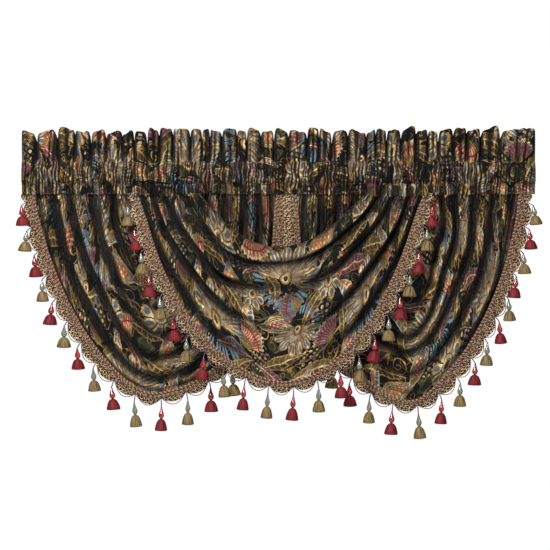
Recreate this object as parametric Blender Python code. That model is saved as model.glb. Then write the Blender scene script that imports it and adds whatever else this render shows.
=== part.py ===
"""A waterfall valance: a gathered heading with a rod pocket, three draped swags and their tassel trims.

Metres, +Z up. The front faces -Y. The origin is on the axis of the rod pocket, halfway along it.
"""

import math
import random
from bisect import bisect_right
from dataclasses import dataclass

import bmesh
import bpy

CLOTH_THICK = 0.002
SEAM_Z = -0.036
SEWN_GAP = 0.0005

HEADING_WIDTH = 1.245
RUFFLE_THICK = 0.003
POCKET_WALL = 0.002
POCKET_SHOULDER_Z = 0.016
POCKET_HEEL_Z = -0.020
POCKET_HALF_DEPTH = 0.015
POCKET_FOOT_FRONT = -0.0095
POCKET_FOOT_BACK = 0.0085
STITCH_Z = 0.036
RUFFLE_MIDDLE_Z = 0.074
RUFFLE_TOP_Z = 0.111
RUFFLE_TOP_RIPPLE = 0.004
POCKET_WAVE = 0.0010
STITCH_WAVE = 0.0015
MIDDLE_WAVE = 0.0055
TOP_WAVE = 0.0090
WAVE_UNEVENNESS = 0.25

TRIM_THICK = 0.0018
TRIM_END = 0.028
CUSP_HALF_WIDTH = 0.00125
CUSP_REACH = 0.007
LOBE_REACH_SIDE = 0.013
LOBE_REACH_BOTTOM = 0.017
LOBE_SHARE = 0.27
PLAIN_REACH = 0.0105

TASSEL_STANDOFF = 0.014
CORD_DROP_SIDE = 0.004
CORD_DROP_BOTTOM = 0.021
CORD_HALF = 0.0010
BEAD_LENGTH_SIDE = 0.026
BEAD_LENGTH_BOTTOM = 0.031
BEAD_HALF = 0.0060
BEAD_WIDEST = 0.62
NECK_HALF = 0.0020
SKIRT_LENGTH_SIDE = 0.022
SKIRT_LENGTH_BOTTOM = 0.027
SHOULDER_DROP = 0.006
SHOULDER_HALF = 0.0075
SKIRT_HALF_SIDE = 0.0120
SKIRT_HALF_BOTTOM = 0.0140
LOCK_SHARE = 0.80

CURVE_STEPS = 200


@dataclass(frozen=True)
class PleatSection:
    """A stretch of the heading whose pleats are alike."""

    width: float
    pleats: int


HEADING_SECTIONS = (
    PleatSection(width=0.097, pleats=2),
    PleatSection(width=0.214, pleats=6),
    PleatSection(width=0.107, pleats=3),
    PleatSection(width=0.112, pleats=4),
    PleatSection(width=0.087, pleats=3),
    PleatSection(width=0.085, pleats=2),
    PleatSection(width=0.056, pleats=2),
    PleatSection(width=0.087, pleats=2),
    PleatSection(width=0.145, pleats=5),
    PleatSection(width=0.129, pleats=4),
    PleatSection(width=0.126, pleats=3),
)


@dataclass(frozen=True)
class Handle:
    """A curve's handle: its share of the way in from the end, and of the way down."""

    inward: float
    down: float


@dataclass(frozen=True)
class HangingCurve:
    """An edge that hangs from the seam: down from the left end to its lowest point and up again."""

    left: float
    lowest_x: float
    lowest_z: float
    right: float
    left_top: Handle
    left_low: Handle
    right_top: Handle
    right_low: Handle

    def samples(self):
        """Points (x, z) from the left end to the right end."""
        down = self.half(self.left, self.left_top, self.left_low)
        up = self.half(self.right, self.right_top, self.right_low)
        return down + up[-2::-1]

    def half(self, end_x, top, low):
        """Points (x, z) of a cubic curve from one end down to the lowest point."""
        top_z = SEAM_Z - SEWN_GAP
        points = []
        for step in range(CURVE_STEPS + 1):
            u = step / CURVE_STEPS
            near_top = 3 * u * (1 - u) ** 2
            near_low = 3 * u * u * (1 - u)
            inward = near_top * top.inward + near_low * low.inward + u**3
            down = near_top * top.down + near_low * low.down + u**3
            x = end_x + (self.lowest_x - end_x) * inward
            z = top_z + (self.lowest_z - top_z) * down
            points.append((x, z))
        return points


class MeasuredEdge:
    """A hanging curve that gives points at distances along it."""

    def __init__(self, curve):
        self.points = curve.samples()
        self.marks = [0.0]
        for (x0, z0), (x1, z1) in zip(self.points, self.points[1:]):
            self.marks.append(self.marks[-1] + math.hypot(x1 - x0, z1 - z0))
        self.length = self.marks[-1]

    def span(self, distance):
        """The index of the sampled stretch that holds a distance."""
        return min(max(bisect_right(self.marks, distance) - 1, 0), len(self.points) - 2)

    def point(self, distance):
        """The point (x, z) at a distance."""
        index = self.span(distance)
        share = (distance - self.marks[index]) / (self.marks[index + 1] - self.marks[index])
        (x0, z0), (x1, z1) = self.points[index], self.points[index + 1]
        return x0 + (x1 - x0) * share, z0 + (z1 - z0) * share

    def outward(self, distance):
        """The unit direction (x, z) that points away from the cloth."""
        index = self.span(distance)
        (x0, z0), (x1, z1) = self.points[index], self.points[index + 1]
        run = math.hypot(x1 - x0, z1 - z0)
        return (z1 - z0) / run, -(x1 - x0) / run


@dataclass(frozen=True)
class Fold:
    """A ridge or valley that runs round a swag.

    Places are shares of the way from the upper edge (0) to the hem (1), at the left end, the left
    quarter, the middle, the right quarter and the right end. Rises are millimetres towards the
    viewer at the ends, the quarters and the middle.
    """

    places: tuple
    end_rise: float
    side_rise: float
    middle_rise: float

    def place(self, share):
        """Where the fold lies at a share of the way along the hem."""
        return blend(self.places, share)

    def rise(self, share):
        """How far the fold comes forward there, in metres."""
        rises = (self.end_rise, self.side_rise, self.middle_rise, self.side_rise, self.end_rise)
        return blend(rises, share) / 1000


def blend(values, share):
    """The value at a share of the way along evenly spaced values, eased between them."""
    position = min(max(share, 0.0), 1.0) * (len(values) - 1)
    index = min(int(position), len(values) - 2)
    ease = position - index
    ease = ease * ease * (3 - 2 * ease)
    return values[index] + (values[index + 1] - values[index]) * ease


@dataclass(frozen=True)
class Swag:
    """A draped swag, with the trim along its hem."""

    name: str
    upper: HangingCurve
    hem: HangingCurve
    folds: tuple
    seam_y: float
    body_y: float
    settle: float
    cusps: int
    bare_left: int
    bare_right: int
    colour: tuple

    def body(self, share):
        """The y of the cloth between its folds, at a share of the way along the hem."""
        from_end = min(share, 1 - share) / self.settle
        return blend((self.seam_y, self.body_y), min(from_end, 1.0))


CENTRE = Swag(
    name="centre",
    upper=HangingCurve(
        left=-0.198,
        lowest_x=-0.001,
        lowest_z=-0.172,
        right=0.217,
        left_top=Handle(inward=0.30, down=0.45),
        left_low=Handle(inward=0.55, down=1.00),
        right_top=Handle(inward=0.30, down=0.45),
        right_low=Handle(inward=0.55, down=1.00),
    ),
    hem=HangingCurve(
        left=-0.353,
        lowest_x=0.006,
        lowest_z=-0.507,
        right=0.364,
        left_top=Handle(inward=0.14, down=0.56),
        left_low=Handle(inward=0.51, down=0.95),
        right_top=Handle(inward=0.15, down=0.50),
        right_low=Handle(inward=0.50, down=1.00),
    ),
    folds=(
        Fold((0.00, 0.00, 0.00, 0.00, 0.00), end_rise=-1.0, side_rise=-5.0, middle_rise=-4.0),
        Fold((0.13, 0.12, 0.05, 0.06, 0.14), end_rise=2.5, side_rise=9.0, middle_rise=6.0),
        Fold((0.27, 0.23, 0.11, 0.13, 0.23), end_rise=-2.5, side_rise=-7.0, middle_rise=-1.0),
        Fold((0.42, 0.35, 0.17, 0.21, 0.33), end_rise=2.5, side_rise=10.0, middle_rise=5.0),
        Fold((0.52, 0.43, 0.30, 0.34, 0.46), end_rise=-2.5, side_rise=-8.0, middle_rise=-3.0),
        Fold((0.64, 0.51, 0.50, 0.48, 0.62), end_rise=2.5, side_rise=11.0, middle_rise=2.0),
        Fold((0.70, 0.60, 0.64, 0.60, 0.70), end_rise=-2.5, side_rise=-8.0, middle_rise=-1.0),
        Fold((0.77, 0.70, 0.77, 0.71, 0.78), end_rise=2.5, side_rise=8.0, middle_rise=2.0),
        Fold((0.86, 0.84, 0.87, 0.84, 0.87), end_rise=-2.0, side_rise=-7.0, middle_rise=-1.0),
        Fold((0.94, 0.94, 0.95, 0.94, 0.94), end_rise=0.0, side_rise=0.0, middle_rise=0.0),
        Fold((1.00, 1.00, 1.00, 1.00, 1.00), end_rise=0.0, side_rise=0.0, middle_rise=0.0),
    ),
    seam_y=-0.0055,
    body_y=-0.0270,
    settle=0.14,
    cusps=22,
    bare_left=0,
    bare_right=0,
    colour=(0.10, 0.08, 0.07, 1.0),
)

LEFT = Swag(
    name="left",
    upper=HangingCurve(
        left=-0.346,
        lowest_x=-0.287,
        lowest_z=-0.086,
        right=-0.227,
        left_top=Handle(inward=0.30, down=0.45),
        left_low=Handle(inward=0.55, down=1.00),
        right_top=Handle(inward=0.30, down=0.45),
        right_low=Handle(inward=0.55, down=1.00),
    ),
    hem=HangingCurve(
        left=-0.613,
        lowest_x=-0.309,
        lowest_z=-0.538,
        right=0.003,
        left_top=Handle(inward=0.11, down=0.47),
        left_low=Handle(inward=0.57, down=0.96),
        right_top=Handle(inward=-0.08, down=0.55),
        right_low=Handle(inward=0.34, down=0.97),
    ),
    folds=(
        Fold((0.00, 0.00, 0.00, 0.00, 0.00), end_rise=-1.0, side_rise=-3.0, middle_rise=-2.0),
        Fold((0.14, 0.24, 0.30, 0.24, 0.14), end_rise=2.5, side_rise=5.0, middle_rise=3.0),
        Fold((0.23, 0.33, 0.43, 0.33, 0.23), end_rise=-2.5, side_rise=-6.0, middle_rise=-3.0),
        Fold((0.31, 0.41, 0.58, 0.41, 0.31), end_rise=2.5, side_rise=8.0, middle_rise=5.0),
        Fold((0.41, 0.48, 0.66, 0.48, 0.41), end_rise=-2.5, side_rise=-7.0, middle_rise=-5.0),
        Fold((0.54, 0.60, 0.74, 0.60, 0.54), end_rise=2.5, side_rise=8.0, middle_rise=4.0),
        Fold((0.61, 0.66, 0.79, 0.66, 0.61), end_rise=-2.5, side_rise=-7.0, middle_rise=-5.0),
        Fold((0.69, 0.75, 0.85, 0.75, 0.69), end_rise=2.5, side_rise=8.0, middle_rise=5.0),
        Fold((0.77, 0.82, 0.90, 0.82, 0.77), end_rise=-2.5, side_rise=-7.0, middle_rise=-4.0),
        Fold((0.85, 0.90, 0.94, 0.90, 0.85), end_rise=2.5, side_rise=7.0, middle_rise=3.0),
        Fold((0.89, 0.94, 0.96, 0.94, 0.89), end_rise=-1.5, side_rise=-2.0, middle_rise=-1.0),
        Fold((0.94, 0.97, 0.98, 0.97, 0.94), end_rise=0.0, side_rise=0.0, middle_rise=0.0),
        Fold((1.00, 1.00, 1.00, 1.00, 1.00), end_rise=0.0, side_rise=0.0, middle_rise=0.0),
    ),
    seam_y=0.0045,
    body_y=0.0140,
    settle=0.14,
    cusps=21,
    bare_left=0,
    bare_right=4,
    colour=(0.11, 0.09, 0.06, 1.0),
)

RIGHT = Swag(
    name="right",
    upper=HangingCurve(
        left=0.246,
        lowest_x=0.302,
        lowest_z=-0.086,
        right=0.358,
        left_top=Handle(inward=0.30, down=0.45),
        left_low=Handle(inward=0.55, down=1.00),
        right_top=Handle(inward=0.30, down=0.45),
        right_low=Handle(inward=0.55, down=1.00),
    ),
    hem=HangingCurve(
        left=0.034,
        lowest_x=0.322,
        lowest_z=-0.556,
        right=0.603,
        left_top=Handle(inward=-0.08, down=0.55),
        left_low=Handle(inward=0.50, down=0.98),
        right_top=Handle(inward=0.07, down=0.56),
        right_low=Handle(inward=0.70, down=1.00),
    ),
    folds=(
        Fold((0.00, 0.00, 0.00, 0.00, 0.00), end_rise=-1.0, side_rise=-3.0, middle_rise=-2.0),
        Fold((0.10, 0.25, 0.42, 0.25, 0.10), end_rise=2.5, side_rise=5.0, middle_rise=3.0),
        Fold((0.16, 0.31, 0.52, 0.31, 0.16), end_rise=-2.5, side_rise=-6.0, middle_rise=-4.0),
        Fold((0.22, 0.38, 0.61, 0.38, 0.21), end_rise=2.5, side_rise=7.0, middle_rise=4.0),
        Fold((0.30, 0.45, 0.65, 0.45, 0.29), end_rise=-2.5, side_rise=-7.0, middle_rise=-4.0),
        Fold((0.41, 0.52, 0.69, 0.52, 0.40), end_rise=2.5, side_rise=8.0, middle_rise=3.0),
        Fold((0.48, 0.61, 0.73, 0.61, 0.48), end_rise=-2.5, side_rise=-7.0, middle_rise=-4.0),
        Fold((0.56, 0.69, 0.78, 0.69, 0.56), end_rise=2.5, side_rise=8.0, middle_rise=5.0),
        Fold((0.67, 0.76, 0.84, 0.76, 0.67), end_rise=-2.5, side_rise=-7.0, middle_rise=-3.0),
        Fold((0.77, 0.86, 0.90, 0.86, 0.77), end_rise=2.5, side_rise=8.0, middle_rise=3.0),
        Fold((0.86, 0.92, 0.94, 0.92, 0.86), end_rise=-1.5, side_rise=-3.0, middle_rise=-1.0),
        Fold((0.94, 0.96, 0.97, 0.96, 0.94), end_rise=0.0, side_rise=0.0, middle_rise=0.0),
        Fold((1.00, 1.00, 1.00, 1.00, 1.00), end_rise=0.0, side_rise=0.0, middle_rise=0.0),
    ),
    seam_y=0.0045,
    body_y=0.0140,
    settle=0.14,
    cusps=22,
    bare_left=4,
    bare_right=0,
    colour=(0.09, 0.07, 0.08, 1.0),
)

SWAGS = (LEFT, RIGHT, CENTRE)


def clear_scene():
    """Remove every object."""
    for leftover in list(bpy.data.objects):
        bpy.data.objects.remove(leftover, do_unlink=True)


def material(name, colour, roughness):
    """A cloth-like finish."""
    finish = bpy.data.materials.new(name)
    finish.use_nodes = True
    shader = finish.node_tree.nodes["Principled BSDF"]
    shader.inputs["Base Color"].default_value = colour
    shader.inputs["Roughness"].default_value = roughness
    shader.inputs["Metallic"].default_value = 0.0
    return finish


def finish_object(name, bm, finish):
    """Turn a mesh into a named object with its material."""
    bmesh.ops.recalc_face_normals(bm, faces=bm.faces)
    mesh = bpy.data.meshes.new(name)
    bm.to_mesh(mesh)
    bm.free()
    mesh.materials.append(finish)
    mesh.shade_smooth()
    made = bpy.data.objects.new(name, mesh)
    bpy.context.scene.collection.objects.link(made)
    return made


def join_rings(bm, first, second, skip=None):
    """Faces between two rings of vertices, but for the one side that skip names."""
    for side in range(len(first)):
        if side == skip:
            continue
        following = (side + 1) % len(first)
        bm.faces.new((first[side], first[following], second[following], second[side]))


def heading_stations():
    """The crests (+1) and valleys (-1) of the pleats, with the heading's ends (0)."""
    total = sum(section.width for section in HEADING_SECTIONS)
    x = -HEADING_WIDTH / 2
    stations = [(x, 0.0)]
    for section in HEADING_SECTIONS:
        pleat = section.width * HEADING_WIDTH / total / section.pleats
        for _ in range(section.pleats):
            stations.append((x + pleat * 0.30, 1.0))
            stations.append((x + pleat * 0.80, -1.0))
            x += pleat
    stations.append((HEADING_WIDTH / 2, 0.0))
    return stations


def heading_section(x, wave, unevenness, top_z):
    """The outer and inner outlines, as (x, y, z), of the heading's cross-section at x."""

    def shifted(y, z, height):
        return x, y - wave * height * unevenness, z

    half = RUFFLE_THICK / 2
    wall = POCKET_WALL
    deep = POCKET_HALF_DEPTH
    front = [
        (x, POCKET_FOOT_FRONT, SEAM_Z),
        shifted(-deep, POCKET_HEEL_Z, POCKET_WAVE),
        shifted(-deep, POCKET_SHOULDER_Z, POCKET_WAVE),
        shifted(-half, STITCH_Z, STITCH_WAVE),
        shifted(-half, RUFFLE_MIDDLE_Z, MIDDLE_WAVE),
        shifted(-half, top_z, TOP_WAVE),
    ]
    back = [
        shifted(half, top_z, TOP_WAVE),
        shifted(half, RUFFLE_MIDDLE_Z, MIDDLE_WAVE),
        shifted(half, STITCH_Z, STITCH_WAVE),
        shifted(deep, POCKET_SHOULDER_Z, POCKET_WAVE),
        shifted(deep, POCKET_HEEL_Z, POCKET_WAVE),
        (x, POCKET_FOOT_BACK, SEAM_Z),
    ]
    inner = [
        (x, POCKET_FOOT_FRONT + wall, SEAM_Z + wall),
        shifted(-deep + wall, POCKET_HEEL_Z, POCKET_WAVE),
        shifted(-deep + wall, POCKET_SHOULDER_Z, POCKET_WAVE),
        shifted(0.0, STITCH_Z - 2 * wall, STITCH_WAVE),
        shifted(deep - wall, POCKET_SHOULDER_Z, POCKET_WAVE),
        shifted(deep - wall, POCKET_HEEL_Z, POCKET_WAVE),
        (x, POCKET_FOOT_BACK - wall, SEAM_Z + wall),
    ]
    return front + back, inner


def add_heading():
    """The gathered sleeve, open at both ends, with its ruffle."""
    choose = random.Random(11)
    bm = bmesh.new()
    outers = []
    inners = []
    for x, wave in heading_stations():
        unevenness = 1 + choose.uniform(-WAVE_UNEVENNESS, WAVE_UNEVENNESS)
        top_z = RUFFLE_TOP_Z + choose.uniform(-RUFFLE_TOP_RIPPLE, RUFFLE_TOP_RIPPLE)
        outer, inner = heading_section(x, wave, unevenness, top_z)
        outers.append([bm.verts.new(point) for point in outer])
        inners.append([bm.verts.new(point) for point in inner])
    for rings in (outers, inners):
        for first, second in zip(rings, rings[1:]):
            join_rings(bm, first, second)
    for end in (0, -1):
        rims = []
        for ring in (outers[end], inners[end]):
            for side, vertex in enumerate(ring):
                following = ring[(side + 1) % len(ring)]
                rims.append(bm.edges.get((vertex, following)))
        bmesh.ops.triangle_fill(bm, edges=rims, use_beauty=True)
    finish_object("heading", bm, material("heading_cloth", (0.10, 0.08, 0.06, 1.0), 0.85))


def trim_marks(swag, hem):
    """The distances along the hem of the tassels' cusps, and the spacing between them."""
    pitch = (hem.length - 2 * TRIM_END) / (swag.cusps - 1)
    return [TRIM_END + pitch * number for number in range(swag.cusps)], pitch


def swag_marks(swag, hem):
    """The distances along the hem at which the swag's cloth has its columns of points."""
    cusps, pitch = trim_marks(swag, hem)
    marks = [0.0]
    for cusp in cusps:
        marks.append(cusp - pitch * LOBE_SHARE)
        marks.append(cusp + pitch * LOBE_SHARE)
    marks.append(hem.length)
    return marks


def hem_points(swag, hem, marks):
    """The points (x, y, z) of the hem at the marks."""
    points = []
    for mark in marks:
        x, z = hem.point(mark)
        points.append((x, swag.body(mark / hem.length), z))
    return points


def add_swag(swag):
    """The swag's cloth: rows of points along its ridges and valleys, given its thickness."""
    upper = MeasuredEdge(swag.upper)
    hem = MeasuredEdge(swag.hem)
    bm = bmesh.new()
    columns = []
    for mark in swag_marks(swag, hem):
        share = mark / hem.length
        top_x, top_z = upper.point(share * upper.length)
        low_x, low_z = hem.point(mark)
        column = []
        for fold in swag.folds:
            place = fold.place(share)
            x = top_x + (low_x - top_x) * place
            z = top_z + (low_z - top_z) * place
            column.append(bm.verts.new((x, swag.body(share) - fold.rise(share), z)))
        columns.append(column)
    for first, second in zip(columns, columns[1:]):
        for row in range(len(swag.folds) - 1):
            bm.faces.new((first[row], first[row + 1], second[row + 1], second[row]))
    made = finish_object(f"swag_{swag.name}", bm, material(f"swag_{swag.name}_cloth", swag.colour, 0.85))
    thicken = made.modifiers.new("thickness", "SOLIDIFY")
    thicken.thickness = CLOTH_THICK
    thicken.offset = 0.0


def on_hem(marks, points, mark):
    """The point at a mark on the straight stretches between the swag's own hem points."""
    index = min(max(bisect_right(marks, mark) - 1, 0), len(marks) - 2)
    share = (mark - marks[index]) / (marks[index + 1] - marks[index])
    first, second = points[index], points[index + 1]
    return tuple(a + (b - a) * share for a, b in zip(first, second))


def trim_stations(swag, hem):
    """The strip's stations: (mark, reach), and for each tassel the station before its cusp."""
    cusps, pitch = trim_marks(swag, hem)
    last_tassel = swag.cusps - swag.bare_right
    stations = [(0.0, PLAIN_REACH)]
    roots = []
    for number, cusp in enumerate(cusps):
        downward = -hem.outward(cusp)[1]
        lobe = LOBE_REACH_SIDE + (LOBE_REACH_BOTTOM - LOBE_REACH_SIDE) * max(downward, 0.0)
        bare = not swag.bare_left <= number < last_tassel
        tip, edge = (PLAIN_REACH, PLAIN_REACH) if bare else (CUSP_REACH, lobe)
        stations.append((cusp - pitch * LOBE_SHARE, edge))
        if not bare:
            roots.append(len(stations))
        stations.append((cusp - CUSP_HALF_WIDTH, tip))
        stations.append((cusp + CUSP_HALF_WIDTH, tip))
        stations.append((cusp + pitch * LOBE_SHARE, edge))
    stations.append((hem.length, PLAIN_REACH))
    return stations, roots


def square_ring(bm, centre, half):
    """Four vertices round a centre, in the order of the cord's corners."""
    x, y, z = centre
    corners = ((-half, -half), (half, -half), (half, half), (-half, half))
    return [bm.verts.new((x + dx, y + dy, z)) for dx, dy in corners]


def add_locks(bm, shoulder, centre, drop, half):
    """Four locks of yarn with three sides each, joined only at the tassel's shoulder."""
    x, y, z = centre
    heart = bm.verts.new((x, y, z))
    corners = ((-half, -half), (half, -half), (half, half), (-half, half))
    for side in range(4):
        following = (side + 1) % 4
        root = (shoulder[side], shoulder[following], heart)
        foot = ((0.0, 0.0), corners[side], corners[following])
        middle_x = sum(corner[0] for corner in foot) / 3
        middle_y = sum(corner[1] for corner in foot) / 3
        ends = []
        for dx, dy in (corners[side], corners[following], (0.0, 0.0)):
            lock_x = middle_x + (dx - middle_x) * LOCK_SHARE
            lock_y = middle_y + (dy - middle_y) * LOCK_SHARE
            ends.append(bm.verts.new((x + lock_x, y + lock_y, z - drop)))
        join_rings(bm, root, ends)
        bm.faces.new(ends)


def add_tassel(bm, root, outward):
    """A cord, a bead and a skirt of locks that hang from the four corners of a cusp."""
    sideways, down = outward[0], max(-outward[1], 0.0)

    def sized(at_side, at_bottom):
        return at_side + (at_bottom - at_side) * down

    x = sum(vertex.co.x for vertex in root) / 4 + TASSEL_STANDOFF * sideways
    y = sum(vertex.co.y for vertex in root) / 4
    z = sum(vertex.co.z for vertex in root) / 4 - sized(CORD_DROP_SIDE, CORD_DROP_BOTTOM)
    bead = sized(BEAD_LENGTH_SIDE, BEAD_LENGTH_BOTTOM)
    skirt = sized(SKIRT_LENGTH_SIDE, SKIRT_LENGTH_BOTTOM)
    shoulder_z = z - bead - SHOULDER_DROP
    rings = [
        list(root),
        square_ring(bm, (x, y, z), CORD_HALF),
        square_ring(bm, (x, y, z - bead * BEAD_WIDEST), BEAD_HALF),
        square_ring(bm, (x, y, z - bead), NECK_HALF),
        square_ring(bm, (x, y, shoulder_z), SHOULDER_HALF),
    ]
    for first, second in zip(rings, rings[1:]):
        join_rings(bm, first, second)
    skirt_half = sized(SKIRT_HALF_SIDE, SKIRT_HALF_BOTTOM)
    add_locks(bm, rings[-1], (x, y, shoulder_z), skirt - SHOULDER_DROP, skirt_half)


def add_trim(swag):
    """The trim: a scalloped strip along the hem, with a tassel fused to each cusp."""
    hem = MeasuredEdge(swag.hem)
    marks = swag_marks(swag, hem)
    points = hem_points(swag, hem, marks)
    stations, roots = trim_stations(swag, hem)
    half = TRIM_THICK / 2
    bm = bmesh.new()
    rings = []
    for mark, reach in stations:
        x, y, z = on_hem(marks, points, mark)
        out_x, out_z = hem.outward(mark)
        top = SEAM_Z - SEWN_GAP
        ring = []
        for distance, side in ((SEWN_GAP, -half), (reach, -half), (reach, half), (SEWN_GAP, half)):
            corner_z = min(z + out_z * distance, top)
            ring.append(bm.verts.new((x + out_x * distance, y + side, corner_z)))
        rings.append(ring)
    outer_side = 1
    for number, (first, second) in enumerate(zip(rings, rings[1:])):
        join_rings(bm, first, second, skip=outer_side if number in roots else None)
    bm.faces.new(rings[0])
    bm.faces.new(rings[-1])
    for number in roots:
        before, after = rings[number], rings[number + 1]
        corners = (before[1], after[1], after[2], before[2])
        middle = (stations[number][0] + stations[number + 1][0]) / 2
        add_tassel(bm, corners, hem.outward(middle))
    finish_object(f"trim_{swag.name}", bm, material(f"trim_{swag.name}_braid", (0.36, 0.25, 0.16, 1.0), 0.8))


def main():
    """Build the valance."""
    clear_scene()
    add_heading()
    for swag in SWAGS:
        add_swag(swag)
        add_trim(swag)


main()
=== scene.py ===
"""The looks of a waterfall valance: gathered floral cloth, three swags, braid, lace and bead tassels.

Every length is in metres. The front faces -Y, and the origin lies on the axis of the rod pocket.
"""

import logging
import math
import random
from dataclasses import dataclass
from enum import Enum
from typing import Optional, Sequence, Union

import bpy
import numpy as np
from mathutils import Euler, Matrix, Vector

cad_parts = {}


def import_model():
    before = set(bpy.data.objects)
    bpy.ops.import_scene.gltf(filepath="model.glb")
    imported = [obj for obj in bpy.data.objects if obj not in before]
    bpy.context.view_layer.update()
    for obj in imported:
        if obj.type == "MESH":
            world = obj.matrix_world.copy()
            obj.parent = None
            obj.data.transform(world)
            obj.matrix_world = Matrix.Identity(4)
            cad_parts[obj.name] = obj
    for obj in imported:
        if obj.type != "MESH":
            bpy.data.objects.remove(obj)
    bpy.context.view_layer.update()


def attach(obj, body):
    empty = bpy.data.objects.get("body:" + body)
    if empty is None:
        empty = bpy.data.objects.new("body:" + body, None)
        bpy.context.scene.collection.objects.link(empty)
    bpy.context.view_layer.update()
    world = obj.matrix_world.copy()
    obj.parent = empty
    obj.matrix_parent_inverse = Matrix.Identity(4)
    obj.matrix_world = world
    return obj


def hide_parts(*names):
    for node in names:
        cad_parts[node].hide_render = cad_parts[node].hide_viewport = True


logging.basicConfig(level=logging.INFO, format="%(message)s")
LOG = logging.getLogger("valance")

Array = np.ndarray
Material = bpy.types.Material
Object = bpy.types.Object
Socket = bpy.types.NodeSocket
Colour = tuple[float, float, float]

SEAM_Z = -0.036
SEWN_GAP = 0.0005
FRONT = np.array([0.0, -1.0, 0.0])
TAU = 2 * math.pi
FILL_SHARE = 0.085
CREASE_FADE_RATE = 6
MILLIMETRES = 1000


@dataclass(frozen=True)
class Handle:
    """A curve's handle, as its share of the way in from the end and of the way down."""

    inward: float
    down: float


@dataclass(frozen=True)
class HangingCurve:
    """An edge that hangs from the seam, down from its left end to its lowest point and up again."""

    left: float
    lowest_x: float
    lowest_z: float
    right: float
    left_top: Handle = Handle(0.30, 0.45)
    left_low: Handle = Handle(0.55, 1.00)
    right_top: Handle = Handle(0.30, 0.45)
    right_low: Handle = Handle(0.55, 1.00)
    steps: int = 300

    def half(self, end_x: float, top: Handle, low: Handle) -> Array:
        """Sample the cubic curve from one end to the lowest point.

        Args:
            end_x: Where the end lies along the seam.
            top: The handle at the seam.
            low: The handle at the lowest point.

        Returns:
            The points (x, z), one a row.
        """
        u = np.linspace(0.0, 1.0, self.steps)
        near_top = 3 * u * (1 - u) ** 2
        near_low = 3 * u * u * (1 - u)
        inward = near_top * top.inward + near_low * low.inward + u**3
        down = near_top * top.down + near_low * low.down + u**3
        top_z = SEAM_Z - SEWN_GAP
        x = end_x + (self.lowest_x - end_x) * inward
        z = top_z + (self.lowest_z - top_z) * down
        return np.stack([x, z], axis=-1)

    def samples(self) -> Array:
        """Sample the whole edge.

        Returns:
            The points (x, z) from the left end to the right end.
        """
        down = self.half(self.left, self.left_top, self.left_low)
        up = self.half(self.right, self.right_top, self.right_low)
        return np.concatenate([down, up[-2::-1]])


class MeasuredEdge:
    """A hanging curve that gives points at shares of its length."""

    DIRECTION_REACH = 0.004

    def __init__(self, curve: HangingCurve) -> None:
        """Measure the curve.

        Args:
            curve: The edge to follow.
        """
        self.points = curve.samples()
        steps = np.diff(self.points, axis=0)
        self.marks = np.concatenate([[0.0], np.cumsum(np.hypot(steps[:, 0], steps[:, 1]))])
        self.length = float(self.marks[-1])

    def at(self, shares: Array) -> Array:
        """Read points of the edge.

        Args:
            shares: Shares of the length.

        Returns:
            The points (x, z) there.
        """
        marks = np.asarray(shares) * self.length
        x = np.interp(marks, self.marks, self.points[:, 0])
        z = np.interp(marks, self.marks, self.points[:, 1])
        return np.stack([x, z], axis=-1)

    def along(self, shares: Array) -> Array:
        """Work out which way the edge runs.

        Args:
            shares: Shares of the length.

        Returns:
            The unit directions (x, z) there.
        """
        reach = self.DIRECTION_REACH
        run = self.at(np.clip(shares + reach, 0, 1)) - self.at(np.clip(shares - reach, 0, 1))
        return run / np.linalg.norm(run, axis=-1, keepdims=True)

    def outward(self, shares: Array) -> Array:
        """Return the unit directions (x, z) that point away from the cloth."""
        along = self.along(shares)
        return np.stack([along[..., 1], -along[..., 0]], axis=-1)


def smooth(shares: Array) -> Array:
    """Ease shares between 0 and 1 at both ends."""
    return shares * shares * (3 - 2 * shares)


def eased(values: Sequence[float], shares: Array) -> Array:
    """Read evenly spaced values at shares of the way along them, eased between neighbours.

    Args:
        values: The values, first to last.
        shares: Where to read them, from 0 to 1.

    Returns:
        A value for each share.
    """
    table = np.asarray(values, dtype=float)
    position = np.clip(shares, 0.0, 1.0) * (len(table) - 1)
    index = np.minimum(position.astype(int), len(table) - 2)
    return table[index] + (table[index + 1] - table[index]) * smooth(position - index)


@dataclass(frozen=True)
class Fold:
    """A ridge or valley that runs round a swag.

    Places are shares of the way from the upper edge (0) to the hem (1), at the left end, the left
    quarter, the middle, the right quarter and the right end. Rises are millimetres towards the
    viewer at the ends, the quarters and the middle.
    """

    places: tuple[float, ...]
    end_rise: float
    side_rise: float
    middle_rise: float

    def place(self, shares: Array) -> Array:
        """Return where the fold lies at shares of the hem."""
        return eased(self.places, shares)

    def rise(self, shares: Array) -> Array:
        """Work out how far the fold comes forward: it fills out soon below the seam.

        Args:
            shares: Shares of the hem.

        Returns:
            The rises there, in metres.
        """
        from_end = np.minimum(shares, 1 - shares)
        inner = eased((0.0, 0.0, 1.0), from_end * 2)
        full = self.side_rise + (self.middle_rise - self.side_rise) * inner
        start = np.clip(from_end / FILL_SHARE, 0.0, 1.0)
        return (self.end_rise + (full - self.end_rise) * (1 - (1 - start) ** 2)) / MILLIMETRES


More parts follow.
